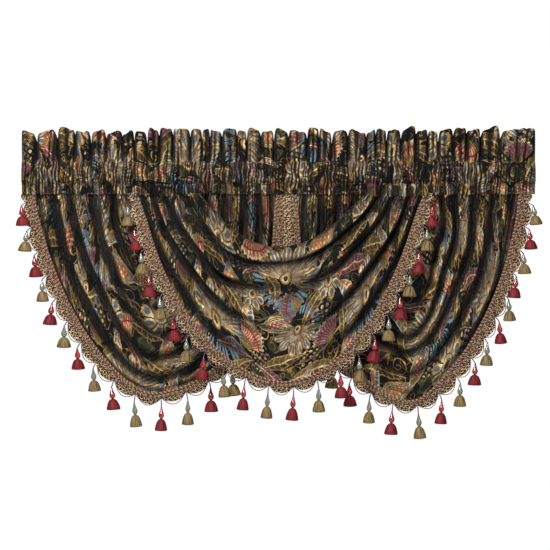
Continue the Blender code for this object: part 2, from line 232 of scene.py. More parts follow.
@dataclass(frozen=True)
class Crease:
    """A narrow trough pressed into a swag between its main folds, or a ridge if its depth is negative.

    It runs from a share of the hem to another, through places between the upper edge and the hem
    at its start, its middle and its end. Its depth and its half-width are in millimetres.
    """

    start: float
    end: float
    places: tuple[float, float, float]
    depth: float = 3.5
    width: float = 5.0

    def rise(self, shares: Array, places: Array, spans: Array) -> Array:
        """Work out how far the crease moves the cloth forward.

        Args:
            shares: Shares of the hem, one a column.
            places: Shares of the way down, one a row.
            spans: The cloth's width at each column, in metres.

        Returns:
            The rises in metres, as (columns, rows).
        """
        along = (shares - self.start) / (self.end - self.start)
        middle = eased(self.places, along)[:, None]
        fade = np.clip(np.minimum(along, 1 - along) * CREASE_FADE_RATE, 0.0, 1.0)[:, None]
        off = (places[None, :] - middle) * spans[:, None] * MILLIMETRES / self.width
        return -self.depth / MILLIMETRES * fade * np.exp(-off * off)


@dataclass(frozen=True)
class SwagShape:
    """The draped form of one swag, as the solids have it, and the finer creases of its cloth.

    The cloth lies body_y back between its folds, and body_shift further there. It has a trim with
    a number of cusps, of which some are bare of tassels at its ends.
    """

    name: str
    upper: HangingCurve
    hem: HangingCurve
    folds: tuple[Fold, ...]
    creases: tuple[Crease, ...]
    seam_y: float
    body_y: float
    body_shift: float
    pattern_turn: float
    cusps: int
    bare_left: int
    bare_right: int
    red_first: bool
    seed: int
    settle: float = 0.14

    def body(self, shares: Array) -> Array:
        """Return the y of the cloth between its folds at shares of the hem."""
        from_end = np.minimum(np.minimum(shares, 1 - shares) / self.settle, 1.0)
        return eased((self.seam_y, self.body_y), from_end)


CENTRE = SwagShape(
    name="centre",
    upper=HangingCurve(left=-0.198, lowest_x=-0.001, lowest_z=-0.172, right=0.217),
    hem=HangingCurve(
        left=-0.353, lowest_x=0.006, lowest_z=-0.507, right=0.364,
        left_top=Handle(0.14, 0.56), left_low=Handle(0.51, 0.95),
        right_top=Handle(0.15, 0.50), right_low=Handle(0.50, 1.00),
    ),
    folds=(
        Fold((0.00, 0.00, 0.00, 0.00, 0.00), -1.0, -5.0, -4.0),
        Fold((0.13, 0.12, 0.05, 0.06, 0.14), 2.5, 9.0, 6.0),
        Fold((0.27, 0.23, 0.11, 0.13, 0.23), -2.5, -7.0, -1.0),
        Fold((0.42, 0.35, 0.17, 0.21, 0.33), 2.5, 10.0, 5.0),
        Fold((0.52, 0.43, 0.30, 0.34, 0.46), -2.5, -8.0, -3.0),
        Fold((0.64, 0.51, 0.50, 0.48, 0.62), 2.5, 11.0, 2.0),
        Fold((0.70, 0.60, 0.64, 0.60, 0.70), -2.5, -8.0, -1.0),
        Fold((0.77, 0.70, 0.77, 0.71, 0.78), 2.5, 8.0, 2.0),
        Fold((0.86, 0.84, 0.87, 0.84, 0.87), -2.0, -7.0, -1.0),
        Fold((0.94, 0.94, 0.95, 0.94, 0.94), 0.0, 0.0, 0.0),
        Fold((1.00, 1.00, 1.00, 1.00, 1.00), 0.0, 0.0, 0.0),
    ),
    creases=(
        Crease(0.00, 0.46, (0.06, 0.06, 0.03)), Crease(0.00, 0.40, (0.20, 0.17, 0.07), 4.0, 5.0),
        Crease(0.01, 0.36, (0.35, 0.30, 0.14), 4.0, 5.5), Crease(0.00, 0.30, (0.46, 0.40, 0.33)),
        Crease(0.01, 0.34, (0.58, 0.48, 0.42), 4.0, 5.5), Crease(0.02, 0.30, (0.73, 0.66, 0.68)),
        Crease(0.02, 0.22, (0.90, 0.88, 0.90), 3.0, 5.0),
        Crease(0.34, 0.62, (0.56, 0.60, 0.57), 2.5, 7.0),
        Crease(0.42, 0.70, (0.72, 0.70, 0.66), 2.5, 7.0),
        Crease(0.36, 0.66, (0.36, 0.40, 0.38), -2.5, 7.0), Crease(0.56, 1.00, (0.03, 0.06, 0.07)),
        Crease(0.62, 1.00, (0.09, 0.17, 0.19), 4.0, 5.0),
        Crease(0.64, 0.99, (0.16, 0.27, 0.29), 4.0, 5.5), Crease(0.70, 1.00, (0.28, 0.37, 0.40)),
        Crease(0.66, 0.99, (0.40, 0.45, 0.55), 4.0, 5.5), Crease(0.72, 0.98, (0.66, 0.65, 0.74)),
        Crease(0.78, 0.98, (0.90, 0.89, 0.91), 3.0, 5.0),
    ),
    seam_y=-0.0055,
    body_y=-0.0270,
    body_shift=-0.003,
    pattern_turn=0.0,
    cusps=22,
    bare_left=0,
    bare_right=0,
    red_first=False,
    seed=3,
)

LEFT = SwagShape(
    name="left",
    upper=HangingCurve(left=-0.346, lowest_x=-0.287, lowest_z=-0.086, right=-0.227),
    hem=HangingCurve(
        left=-0.613, lowest_x=-0.309, lowest_z=-0.538, right=0.003,
        left_top=Handle(0.11, 0.47), left_low=Handle(0.57, 0.96),
        right_top=Handle(-0.08, 0.55), right_low=Handle(0.34, 0.97),
    ),
    folds=(
        Fold((0.00, 0.00, 0.00, 0.00, 0.00), -1.0, -3.0, -2.0),
        Fold((0.14, 0.24, 0.30, 0.24, 0.14), 2.5, 5.0, 3.0),
        Fold((0.23, 0.33, 0.43, 0.33, 0.23), -2.5, -6.0, -3.0),
        Fold((0.31, 0.41, 0.58, 0.41, 0.31), 2.5, 8.0, 5.0),
        Fold((0.41, 0.48, 0.66, 0.48, 0.41), -2.5, -7.0, -5.0),
        Fold((0.54, 0.60, 0.74, 0.60, 0.54), 2.5, 8.0, 4.0),
        Fold((0.61, 0.66, 0.79, 0.66, 0.61), -2.5, -7.0, -5.0),
        Fold((0.69, 0.75, 0.85, 0.75, 0.69), 2.5, 8.0, 5.0),
        Fold((0.77, 0.82, 0.90, 0.82, 0.77), -2.5, -7.0, -4.0),
        Fold((0.85, 0.90, 0.94, 0.90, 0.85), 2.5, 7.0, 3.0),
        Fold((0.89, 0.94, 0.96, 0.94, 0.89), -1.5, -2.0, -1.0),
        Fold((0.94, 0.97, 0.98, 0.97, 0.94), 0.0, 0.0, 0.0),
        Fold((1.00, 1.00, 1.00, 1.00, 1.00), 0.0, 0.0, 0.0),
    ),
    creases=(
        Crease(0.00, 0.30, (0.05, 0.10, 0.16), 3.0, 5.0), Crease(0.00, 0.34, (0.19, 0.30, 0.38)),
        Crease(0.01, 0.42, (0.35, 0.46, 0.62)), Crease(0.00, 0.36, (0.50, 0.55, 0.70)),
        Crease(0.02, 0.40, (0.72, 0.79, 0.87)), Crease(0.03, 0.30, (0.93, 0.96, 0.96), 2.5, 4.0),
        Crease(0.38, 0.66, (0.22, 0.26, 0.20), 3.0, 7.0),
        Crease(0.40, 0.72, (0.50, 0.52, 0.40), 3.0, 6.0), Crease(0.64, 1.00, (0.30, 0.24, 0.18)),
        Crease(0.60, 0.99, (0.52, 0.37, 0.27)), Crease(0.66, 1.00, (0.57, 0.46, 0.36)),
        Crease(0.70, 0.98, (0.80, 0.70, 0.64)),
    ),
    seam_y=0.0045,
    body_y=0.0140,
    body_shift=0.006,
    pattern_turn=0.35,
    cusps=21,
    bare_left=0,
    bare_right=4,
    red_first=True,
    seed=5,
)

RIGHT = SwagShape(
    name="right",
    upper=HangingCurve(left=0.246, lowest_x=0.302, lowest_z=-0.086, right=0.358),
    hem=HangingCurve(
        left=0.034, lowest_x=0.322, lowest_z=-0.556, right=0.603,
        left_top=Handle(-0.08, 0.55), left_low=Handle(0.50, 0.98),
        right_top=Handle(0.07, 0.56), right_low=Handle(0.70, 1.00),
    ),
    folds=(
        Fold((0.00, 0.00, 0.00, 0.00, 0.00), -1.0, -3.0, -2.0),
        Fold((0.10, 0.25, 0.42, 0.25, 0.10), 2.5, 5.0, 3.0),
        Fold((0.16, 0.31, 0.52, 0.31, 0.16), -2.5, -6.0, -4.0),
        Fold((0.22, 0.38, 0.61, 0.38, 0.21), 2.5, 7.0, 4.0),
        Fold((0.30, 0.45, 0.65, 0.45, 0.29), -2.5, -7.0, -4.0),
        Fold((0.41, 0.52, 0.69, 0.52, 0.40), 2.5, 8.0, 3.0),
        Fold((0.48, 0.61, 0.73, 0.61, 0.48), -2.5, -7.0, -4.0),
        Fold((0.56, 0.69, 0.78, 0.69, 0.56), 2.5, 8.0, 5.0),
        Fold((0.67, 0.76, 0.84, 0.76, 0.67), -2.5, -7.0, -3.0),
        Fold((0.77, 0.86, 0.90, 0.86, 0.77), 2.5, 8.0, 3.0),
        Fold((0.86, 0.92, 0.94, 0.92, 0.86), -1.5, -3.0, -1.0),
        Fold((0.94, 0.96, 0.97, 0.96, 0.94), 0.0, 0.0, 0.0),
        Fold((1.00, 1.00, 1.00, 1.00, 1.00), 0.0, 0.0, 0.0),
    ),
    creases=(
        Crease(0.00, 0.34, (0.13, 0.25, 0.36)), Crease(0.01, 0.40, (0.26, 0.42, 0.58)),
        Crease(0.00, 0.36, (0.36, 0.49, 0.62)), Crease(0.02, 0.34, (0.52, 0.64, 0.74)),
        Crease(0.38, 0.62, (0.20, 0.24, 0.22), 3.0, 7.0),
        Crease(0.36, 0.60, (0.35, 0.33, 0.36), 3.0, 6.0), Crease(0.60, 1.00, (0.64, 0.42, 0.25)),
        Crease(0.64, 0.99, (0.60, 0.49, 0.35)), Crease(0.62, 1.00, (0.50, 0.34, 0.13)),
        Crease(0.66, 1.00, (0.72, 0.65, 0.51)), Crease(0.62, 0.98, (0.87, 0.81, 0.72)),
        Crease(0.70, 0.97, (0.94, 0.93, 0.92), 2.5, 4.0),
    ),
    seam_y=0.0045,
    body_y=0.0140,
    body_shift=0.006,
    pattern_turn=-0.30,
    cusps=22,
    bare_left=4,
    bare_right=0,
    red_first=True,
    seed=9,
)

@dataclass(frozen=True)
class Chunk:
    """A bare mesh in arrays: points, loops, faces' sizes, the loops' UVs and the faces' material."""

    points: Array
    loops: Array
    sizes: Array
    uvs: Array
    material: Array


def quads(numbers: Array) -> Array:
    """Return the four corners of each cell of a grid of numbers, one cell a row."""
    corners = [numbers[:-1, :-1], numbers[1:, :-1], numbers[1:, 1:], numbers[:-1, 1:]]
    return np.stack(corners, axis=-1).reshape(-1, 4)


def grid_chunk(points: Array, uvs: Array, material: int = 0, around: bool = False) -> Chunk:
    """Make faces over a grid of points.

    Args:
        points: Points in columns and rows, as (columns, rows, 3).
        uvs: The points' UVs, as (columns, rows, 2), with one more row if the grid closes.
        material: The material's index.
        around: Whether the last row joins the first.

    Returns:
        The mesh.
    """
    columns, rows = points.shape[:2]
    numbers = np.arange(columns * rows).reshape(columns, rows)
    if around:
        numbers = np.concatenate([numbers, numbers[:, :1]], axis=1)
    faces = quads(numbers)
    wraps = quads(np.arange(columns * uvs.shape[1]).reshape(columns, -1))
    return Chunk(
        points.reshape(-1, 3),
        faces.reshape(-1),
        np.full(len(faces), 4),
        uvs.reshape(-1, 2)[wraps.reshape(-1)],
        np.full(len(faces), material),
    )


def tube_chunk(path: Array, radius: float, sides: int, material: int) -> Chunk:
    """Make a round strand along a path.

    Args:
        path: The points of its middle line, as (count, 3), never running straight along Y.
        radius: Its radius.
        sides: How many sides it has.
        material: The material's index.

    Returns:
        The mesh, with U along the strand in metres and V round it from 0 to 1.
    """
    run = np.gradient(path, axis=0)
    length = np.linalg.norm(run, axis=1, keepdims=True)
    run = run / np.maximum(length, 1e-9)
    side = np.cross(run, FRONT)
    side /= np.maximum(np.linalg.norm(side, axis=1, keepdims=True), 1e-9)
    up = np.cross(side, run)
    angles = np.linspace(0, TAU, sides, endpoint=False)
    cosine, sine = np.cos(angles)[None, :, None], np.sin(angles)[None, :, None]
    ring = cosine * side[:, None, :] + sine * up[:, None, :]
    points = path[:, None, :] + radius * ring
    steps = np.concatenate([[0.0], np.cumsum(np.linalg.norm(np.diff(path, axis=0), axis=1))])
    u, v = np.meshgrid(steps, np.linspace(0, 1, sides + 1), indexing="ij")
    body = grid_chunk(points, np.stack([u, v], axis=-1), material, around=True)
    first = np.arange(sides)
    last = first[::-1] + (len(path) - 1) * sides
    return Chunk(
        body.points,
        np.concatenate([body.loops, first, last]),
        np.concatenate([body.sizes, [sides, sides]]),
        np.concatenate([body.uvs, np.zeros((2 * sides, 2))]),
        np.concatenate([body.material, [material, material]]),
    )


def bowed(first: Array, knee: Array, last: Array, count: int) -> Array:
    """Lay a curve between two points, drawn towards a third.

    Args:
        first: Where it starts.
        knee: The point that draws it.
        last: Where it ends.
        count: How many points it has.

    Returns:
        The curve's points, one a row.
    """
    u = np.linspace(0.0, 1.0, count)[:, None]
    return first * (1 - u) ** 2 + knee * 2 * u * (1 - u) + last * u**2


def openness(points: Array, heights: Array, reach: int) -> Array:
    """Work out how open to the light each point of some gathered cloth is, along its second axis.

    Args:
        points: Points as (lines, steps, 3).
        heights: How far each point stands forward.
        reach: How many steps away a fold may still shade it.

    Returns:
        A share from 0, deep in a crease, to 1, on a ridge.
    """
    horizons = np.zeros((2,) + heights.shape)
    for step in range(1, reach + 1):
        away = np.linalg.norm(points[:, step:] - points[:, :-step], axis=-1)
        climb = (heights[:, step:] - heights[:, :-step]) / np.maximum(away, 1e-5)
        horizons[0, :, :-step] = np.maximum(horizons[0, :, :-step], climb)
        horizons[1, :, step:] = np.maximum(horizons[1, :, step:], -climb)
    return 1 - 0.5 * np.clip(horizons, 0.0, 1.0).sum(axis=0)


def piece_from(
    name: str,
    chunks: Sequence[Chunk],
    finishes: Sequence[Material],
    light: Optional[Array] = None,
) -> Object:
    """Join bare meshes into one object that rides on the valance.

    Args:
        name: The piece's name.
        chunks: The bare meshes.
        finishes: The materials, in the order of their indices.
        light: How open to the light each point is, kept as the attribute Openness.

    Returns:
        The object.
    """
    counts = [len(chunk.points) for chunk in chunks]
    starts = np.concatenate([[0], np.cumsum(counts)[:-1]])
    points = np.concatenate([chunk.points for chunk in chunks])
    loops = np.concatenate([chunk.loops + start for chunk, start in zip(chunks, starts)])
    sizes = np.concatenate([chunk.sizes for chunk in chunks])
    materials = np.concatenate([chunk.material for chunk in chunks])
    uvs = np.concatenate([chunk.uvs for chunk in chunks])
    mesh = bpy.data.meshes.new(name)
    mesh.vertices.add(len(points))
    mesh.vertices.foreach_set("co", points.astype(np.float32).ravel())
    mesh.loops.add(len(loops))
    mesh.loops.foreach_set("vertex_index", loops.astype(np.int32))
    mesh.polygons.add(len(sizes))
    mesh.polygons.foreach_set("loop_start", (np.cumsum(sizes) - sizes).astype(np.int32))
    mesh.polygons.foreach_set("material_index", materials.astype(np.int32))
    layer = mesh.uv_layers.new(name="UVMap")
    layer.uv.foreach_set("vector", uvs.astype(np.float32).ravel())
    mesh.update(calc_edges=True)
    mesh.polygons.foreach_set("use_smooth", [True] * len(sizes))
    if light is not None:
        shade = mesh.attributes.new("Openness", "FLOAT", "POINT")
        shade.data.foreach_set("value", light.astype(np.float32).ravel())
    for finish in finishes:
        mesh.materials.append(finish)
    made = bpy.data.objects.new(name, mesh)
    bpy.context.scene.collection.objects.link(made)
    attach(made, "root")
    LOG.info("%s: %d faces", name, len(sizes))
    return made


def thicken(made: Object, thickness: float) -> None:
    """Give a sheet its thickness, with the reverse's material on the side away from its normals.

    Args:
        made: The sheet's object.
        thickness: How thick the cloth is.
    """
    wall = made.modifiers.new("thickness", "SOLIDIFY")
    wall.thickness = thickness
    wall.offset = 0.0
    wall.material_offset = 1


@dataclass(frozen=True)
class Gathers:
    """Uneven gathers: round ridges with sharp valleys that wander and merge."""

    pitch: float
    seed: int
    wander: float = 1.6
    octaves: tuple[float, ...] = (5.3, 2.9, 1.7)

    def rise(self, across: Array, down: Array) -> Array:
        """Read the gathers, from -1 in a valley to 1 on a ridge.

        Args:
            across: Distance across the gathers, in metres.
            down: Distance along them.

        Returns:
            The height at each point.
        """
        choose = random.Random(self.seed)
        phase = TAU * across / self.pitch
        for octave in self.octaves:
            bend = choose.uniform(-1.0, 1.0) * TAU / (octave * self.pitch * 6)
            shift = choose.uniform(0, TAU)
            wave = TAU * across / (octave * self.pitch)
            phase = phase + self.wander * np.sin(wave + shift + bend * down)
        strength = 0.75 + 0.25 * np.sin(TAU * across / (3.7 * self.pitch) + choose.uniform(0, TAU))
        return (2 * np.abs(np.sin(phase / 2)) - 1) * strength


POCKET_GATHERS = Gathers(pitch=0.0100, seed=8)
FINE_GATHERS = Gathers(pitch=0.017, seed=4, wander=1.2)


def as_light(colour: Colour) -> tuple[float, float, float, float]:
    """Turn a colour as it looks on a screen, from 0 to 255, into the one that the shaders take."""
    red, green, blue = ((channel / 255 + 0.055) / 1.055 for channel in colour)
    return (red**2.4, green**2.4, blue**2.4, 1.0)


class Thread(Enum):
    """The yarn colours of the cloth and its trim, as they look on a screen."""

    GROUND = (12, 12, 15)
    CREAM = (236, 210, 156)
    PALE = (250, 232, 190)
    GOLD = (186, 146, 76)
    BROWN = (70, 48, 30)
    # SHADOW is a dark yarn of the border cord, and painted shade in the gaps of the lace.
    SHADOW = (34, 24, 18)
    ECRU = (158, 136, 104)
    LINEN = (184, 162, 128)
    DUSKY = (114, 60, 54)
    BLUE = (94, 122, 138)
    DEEP_BLUE = (34, 46, 56)
    ROSE = (184, 84, 76)
    CRIMSON = (128, 40, 44)
    ORANGE = (212, 134, 74)
    PLUM = (102, 48, 66)
    LILAC = (162, 132, 140)
    OLIVE = (96, 96, 52)
    MOSS = (36, 42, 28)

    @property
    def linear(self) -> tuple[float, float, float, float]:
        """Return the colour as the shaders take it."""
        return as_light(self.value)


def set_sockets(node: bpy.types.Node, values: dict[str, object]) -> None:
    """Set a node's inputs by their names."""
    for name, value in values.items():
        node.inputs[name].default_value = value


class Weaver:
    """Writes a node tree, one node after another in the order that it is worked out."""

    def __init__(self, tree: bpy.types.NodeTree) -> None:
        """Take the tree to write in."""
        self.tree = tree

    def add(self, kind: str) -> bpy.types.Node:
        """Add a node of a kind."""
        return self.tree.nodes.new(kind)

    def uv(self) -> Socket:
        """Return the piece's own UV map."""
        return self.add("ShaderNodeUVMap").outputs["UV"]

    def feed(self, socket: Socket, value: "Source") -> None:
        """Link a value into a socket, or set it there.

        Args:
            socket: The input.
            value: A term, a node's output or a plain value.
        """
        if isinstance(value, Term):
            value = value.socket
        if isinstance(value, Socket):
            self.tree.links.new(value, socket)
        else:
            socket.default_value = value

    def maths(self, operation: str, *values: "Source") -> "Term":
        """Add a Math node.

        Args:
            operation: What it does.
            values: What it takes.

        Returns:
            Its result.
        """
        node = self.add("ShaderNodeMath")
        node.operation = operation
        for socket, value in zip(node.inputs, values):
            self.feed(socket, value)
        return Term(self, node.outputs[0])

    def vector(self, operation: str, *values: "Source") -> Socket:
        """Add a Vector Math node.

        Args:
            operation: What it does.
            values: What it takes.

        Returns:
            Its vector, or its number where it measures a length.
        """
        node = self.add("ShaderNodeVectorMath")
        node.operation = operation
        for socket, value in zip(node.inputs, values):
            self.feed(socket, value)
        return node.outputs["Value" if operation == "LENGTH" else "Vector"]

    def mixed(self, factor: "Source", under: "Source", over: "Source", kind: str = "RGBA") -> Socket:
        """Mix two colours or two vectors.

        Args:
            factor: How much of the second there is.
            under: The first.
            over: The second.
            kind: RGBA or VECTOR.

        Returns:
            The mix.
        """
        node = self.add("ShaderNodeMix")
        node.data_type = kind
        first, result = (6, 2) if kind == "RGBA" else (4, 1)
        self.feed(node.inputs[0], factor)
        self.feed(node.inputs[first], under)
        self.feed(node.inputs[first + 1], over)
        return node.outputs[result]

    def apart(self, vector: Socket) -> tuple["Term", "Term"]:
        """Take a vector apart.

        Args:
            vector: The vector.

        Returns:
            Its X and Y.
        """
        node = self.add("ShaderNodeSeparateXYZ")
        self.feed(node.inputs[0], vector)
        return Term(self, node.outputs[0]), Term(self, node.outputs[1])

    def polar(self, x: "Term", y: "Term") -> tuple["Term", "Term"]:
        """Return a point's distance from the middle, and its angle from upright."""
        return (x.squared() + y.squared()).root(), self.maths("ARCTAN2", x, y)

    def cloud(self, place: Socket, scale: float, detail: float) -> bpy.types.Node:
        """Add a noise texture.

        Args:
            place: Where it is read.
            scale: How fine it is, per metre.
            detail: How many octaves it has.

        Returns:
            Its node.
        """
        node = self.add("ShaderNodeTexNoise")
        self.feed(node.inputs["Vector"], place)
        set_sockets(node, {"Scale": scale, "Detail": detail})
        return node

    def noise(self, place: Socket, scale: float, detail: float = 2.0) -> "Term":
        """Return a noise texture's value, about 0.5."""
        return Term(self, self.cloud(place, scale, detail).outputs[0])


class Term:
    """A number in a node tree, with the usual arithmetic."""

    def __init__(self, weaver: Weaver, socket: Socket) -> None:
        """Take the output that holds the number."""
        self.weaver = weaver
        self.socket = socket

    def __add__(self, other: "Source") -> "Term":
        """Add."""
        return self.weaver.maths("ADD", self, other)

    def __radd__(self, other: "Source") -> "Term":
        """Add to a plain number."""
        return self.weaver.maths("ADD", other, self)

    def __sub__(self, other: "Source") -> "Term":
        """Subtract."""
        return self.weaver.maths("SUBTRACT", self, other)

    def __rsub__(self, other: "Source") -> "Term":
        """Subtract from a plain number."""
        return self.weaver.maths("SUBTRACT", other, self)

    def __mul__(self, other: "Source") -> "Term":
        """Multiply."""
        return self.weaver.maths("MULTIPLY", self, other)

    def above(self, other: "Source") -> "Term":
        """Return 1 where it is greater."""
        return self.weaver.maths("GREATER_THAN", self, other)

    def below(self, other: "Source") -> "Term":
        """Return 1 where it is less."""
        return self.weaver.maths("LESS_THAN", self, other)

    def within(self, middle: float, reach: float) -> "Term":
        """Return 1 where it is close to a value."""
        return self.weaver.maths("COMPARE", self, middle, reach)

    def least(self, other: "Source") -> "Term":
        """Return the smaller of two."""
        return self.weaver.maths("MINIMUM", self, other)

    def most(self, other: "Source") -> "Term":
        """Return the larger of two."""
        return self.weaver.maths("MAXIMUM", self, other)

    def size(self) -> "Term":
        """Return it without its sign."""
        return self.weaver.maths("ABSOLUTE", self)

    def root(self) -> "Term":
        """Return its square root."""
        return self.weaver.maths("SQRT", self)

    def squared(self) -> "Term":
        """Return its square."""
        return self.weaver.maths("MULTIPLY", self, self)

    def sine(self) -> "Term":
        """Return its sine."""
        return self.weaver.maths("SINE", self)

    def repeated(self) -> "Term":
        """Return where it lies between -0.5 and 0.5, counted again from each whole number."""
        return self.weaver.maths("WRAP", self, 0.5, -0.5)


Source = Union[float, tuple, Term, Socket]


@dataclass
class Drawing:
    """The cloth's colour as it is built up, layer over layer, and where its threads stand proud."""

    weaver: Weaver
    colour: Source
    raised: Term

    def paint(self, mask: Term, thread: Thread) -> None:
        """Lay a thread's colour where a mask is 1."""
        self.colour = self.weaver.mixed(mask, self.colour, thread.linear)

    def lay(self, mask: Term, thread: Thread) -> None:
        """Lay a motif's first colour, and raise the cloth there."""
        self.paint(mask, thread)
        self.raised = self.raised.most(mask)

    def rings(self, reach: Term, rings: Sequence[tuple[float, Thread]]) -> None:
        """Paint rings about a middle, the widest first.

        Args:
            reach: The distance from the middle.
            rings: Each ring's radius and thread.
        """
        for radius, thread in rings:
            self.paint(reach.below(radius), thread)


@dataclass(frozen=True)
class Spot:
    """Where one motif lies on the repeat: its middle, its turn in degrees and its half-size."""

    x: float
    y: float
    turn: float
    size: float


@dataclass(frozen=True)
class Motif:
    """One kind of flower, leaf or ornament of the cloth."""

    spots: tuple[Spot, ...]
    narrow: float = 1.0

    def nearest(self, weaver: Weaver, place: Socket, repeat: tuple[float, float]) -> tuple[Term, Term]:
        """Find the nearest motif of this kind, and where the point lies in it.

        Args:
            weaver: The tree's writer.
            place: The point on the cloth.
            repeat: The pattern's width and height.

        Returns:
            The point in the motif's own frame, where its half-size is 1.
        """
        half = (repeat[0] / 2, repeat[1] / 2, 1.0)
        chosen: Optional[Socket] = None
        closest: Optional[Term] = None
        for spot in self.spots:
            local = weaver.vector("SUBTRACT", place, (spot.x, spot.y, 0.0))
            local = weaver.vector("WRAP", local, half, (-half[0], -half[1], -1.0))
            turned = weaver.add("ShaderNodeVectorRotate")
            turned.rotation_type = "Z_AXIS"
            weaver.feed(turned.inputs["Vector"], local)
            turned.inputs["Angle"].default_value = -math.radians(spot.turn)
            scale = (1 / spot.size, 1 / (spot.size * self.narrow), 0.0)
            local = weaver.vector("MULTIPLY", turned.outputs[0], scale)
            far = Term(weaver, weaver.vector("LENGTH", local))
            if chosen is None:
                chosen, closest = local, far
            else:
                chosen = weaver.mixed(far.below(closest), chosen, local, "VECTOR")
                closest = closest.least(far)
        return weaver.apart(chosen)

    def draw(self, drawing: Drawing, x: Term, y: Term) -> None:
        """Draw the motif.

        Args:
            drawing: The cloth so far.
            x: The point's place in the motif.
            y: The same, upwards.
        """
        raise NotImplementedError


@dataclass(frozen=True)
class FanBloom(Motif):
    """A wide bloom seen from the side: toothed cream petals with blue strokes round a pale heart."""

    heart: Thread = Thread.LINEN

    def draw(self, drawing: Drawing, x: Term, y: Term) -> None:
        """Draw the bloom.

        Args:
            drawing: The cloth so far.
            x: The point's place in the motif.
            y: The same, upwards.
        """
        reach, angle = drawing.weaver.polar(x, y + 0.6)
        spread = angle.size()
        petal = (angle * 2.35).repeated().size() * 2
        tooth = (angle * 13.0).repeated().size()
        outline = 1.52 - petal.squared() * 0.36 - spread * 0.14 - tooth * 0.11
        whole = reach.below(outline) * spread.below(1.95)
        drawing.lay(whole, Thread.CREAM)
        drawing.paint(whole * reach.above(outline - 0.07), Thread.GOLD)
        drawing.paint(whole * petal.above(0.72) * reach.below(1.25), Thread.GOLD)
        drawing.paint(whole * petal.above(0.90), Thread.BROWN)
        stroke = (petal - 0.34).size() * 4.6
        drop = ((reach - 1.06) * 3.6).squared() + stroke.squared()
        drawing.paint(drop.below(1.0), Thread.BLUE)
        second = (angle * 1.9 + 0.5).repeated().size() * 2
        edge = 0.86 - second.squared() * 0.26
        inner = reach.below(edge) * spread.below(1.8)
        drawing.paint(inner, Thread.BROWN)
        drawing.paint(inner * reach.below(edge - 0.05), self.heart)
        drawing.paint(inner * second.within(0.62, 0.07), Thread.GOLD)
        drawing.paint(inner * second.below(0.20), Thread.BLUE)
        eye = ((0.26, Thread.BROWN), (0.22, Thread.GOLD), (0.15, Thread.CREAM), (0.09, Thread.DEEP_BLUE))
        drawing.rings(reach, eye)


@dataclass(frozen=True)
class RoundBloom(Motif):
    """A round bloom with scalloped petals, drops on them, and a ringed eye."""

    petals: Thread = Thread.CREAM
    drops: Thread = Thread.BLUE

    def draw(self, drawing: Drawing, x: Term, y: Term) -> None:
        """Draw the bloom.

        Args:
            drawing: The cloth so far.
            x: The point's place in the motif.
            y: The same, upwards.
        """
        reach, angle = drawing.weaver.polar(x, y)
        petal = (angle * (8 / TAU)).repeated().size() * 2
        tooth = (angle * (40 / TAU)).repeated().size()
        outline = 1.0 - petal.squared() * 0.22 - tooth * 0.09
        whole = reach.below(outline)
        drawing.lay(whole, self.petals)
        drawing.paint(whole * reach.above(outline - 0.09), Thread.GOLD)
        drawing.paint(whole * petal.above(0.84), Thread.BROWN)
        drop = ((reach - 0.68) * 5.0).squared() + (petal * 2.1).squared()
        drawing.paint(drop.below(1.0), self.drops)
        eye = ((0.34, Thread.BROWN), (0.30, Thread.PALE), (0.19, Thread.GOLD), (0.12, Thread.DEEP_BLUE))
        drawing.rings(reach, eye)


@dataclass(frozen=True)
class ShellFan(Motif):
    """A ribbed fan, like half a carnation, on a small green cup."""

    body: Thread = Thread.ROSE
    ribs: Thread = Thread.CREAM

    def draw(self, drawing: Drawing, x: Term, y: Term) -> None:
        """Draw the fan.

        Args:
            drawing: The cloth so far.
            x: The point's place in the motif.
            y: The same, upwards.
        """
        reach, angle = drawing.weaver.polar(x, y + 0.9)
        rib = (angle * 6.5).repeated().size() * 2
        outline = 1.86 - rib * 0.20 - angle.squared() * 0.35
        whole = reach.below(outline) * angle.size().below(0.82)
        drawing.lay(whole, self.body)
        drawing.paint(whole * rib.below(0.30) * reach.above(0.72), self.ribs)
        drawing.paint(whole * reach.within(1.22, 0.055), Thread.CRIMSON)
        drawing.paint(whole * reach.above(outline - 0.10), Thread.CREAM)
        cup = whole * reach.below(0.62 + rib * 0.08)
        drawing.paint(cup, Thread.OLIVE)
        drawing.paint(cup * rib.above(0.7), Thread.GOLD)


@dataclass(frozen=True)
class Paisley(Motif):
    """A bent drop with a band inside its outline and a dotted heart."""

    band: Thread = Thread.BLUE
    heart: Thread = Thread.ORANGE
    line: Thread = Thread.GOLD

    def draw(self, drawing: Drawing, x: Term, y: Term) -> None:
        """Draw the drop.

        Args:
            drawing: The cloth so far.
            x: The point's place in the motif.
            y: The same, upwards.
        """
        weaver = drawing.weaver
        up = weaver.maths("MULTIPLY_ADD", y, 0.5, 0.5).most(0.0)
        bent = x - up.squared() * up * 0.42 + 0.14
        room = up.root() * (1.0 - up) * 1.42
        share = bent.size() * weaver.maths("DIVIDE", 1.0, room.most(0.02))
        whole = share.below(1.0) * up.below(0.99)
        drawing.lay(whole, self.line)
        drawing.paint(whole * share.below(0.82), self.band)
        drawing.paint(whole * share.within(0.70, 0.035), Thread.CREAM)
        core = whole * share.below(0.56) * up.below(0.72) * up.above(0.08)
        drawing.paint(core, self.line)
        core = core * share.below(0.46)
        drawing.paint(core, self.heart)
        dots = (x * 22.0).sine() * (y * 22.0).sine()
        drawing.paint(core * dots.above(0.45), Thread.PALE)


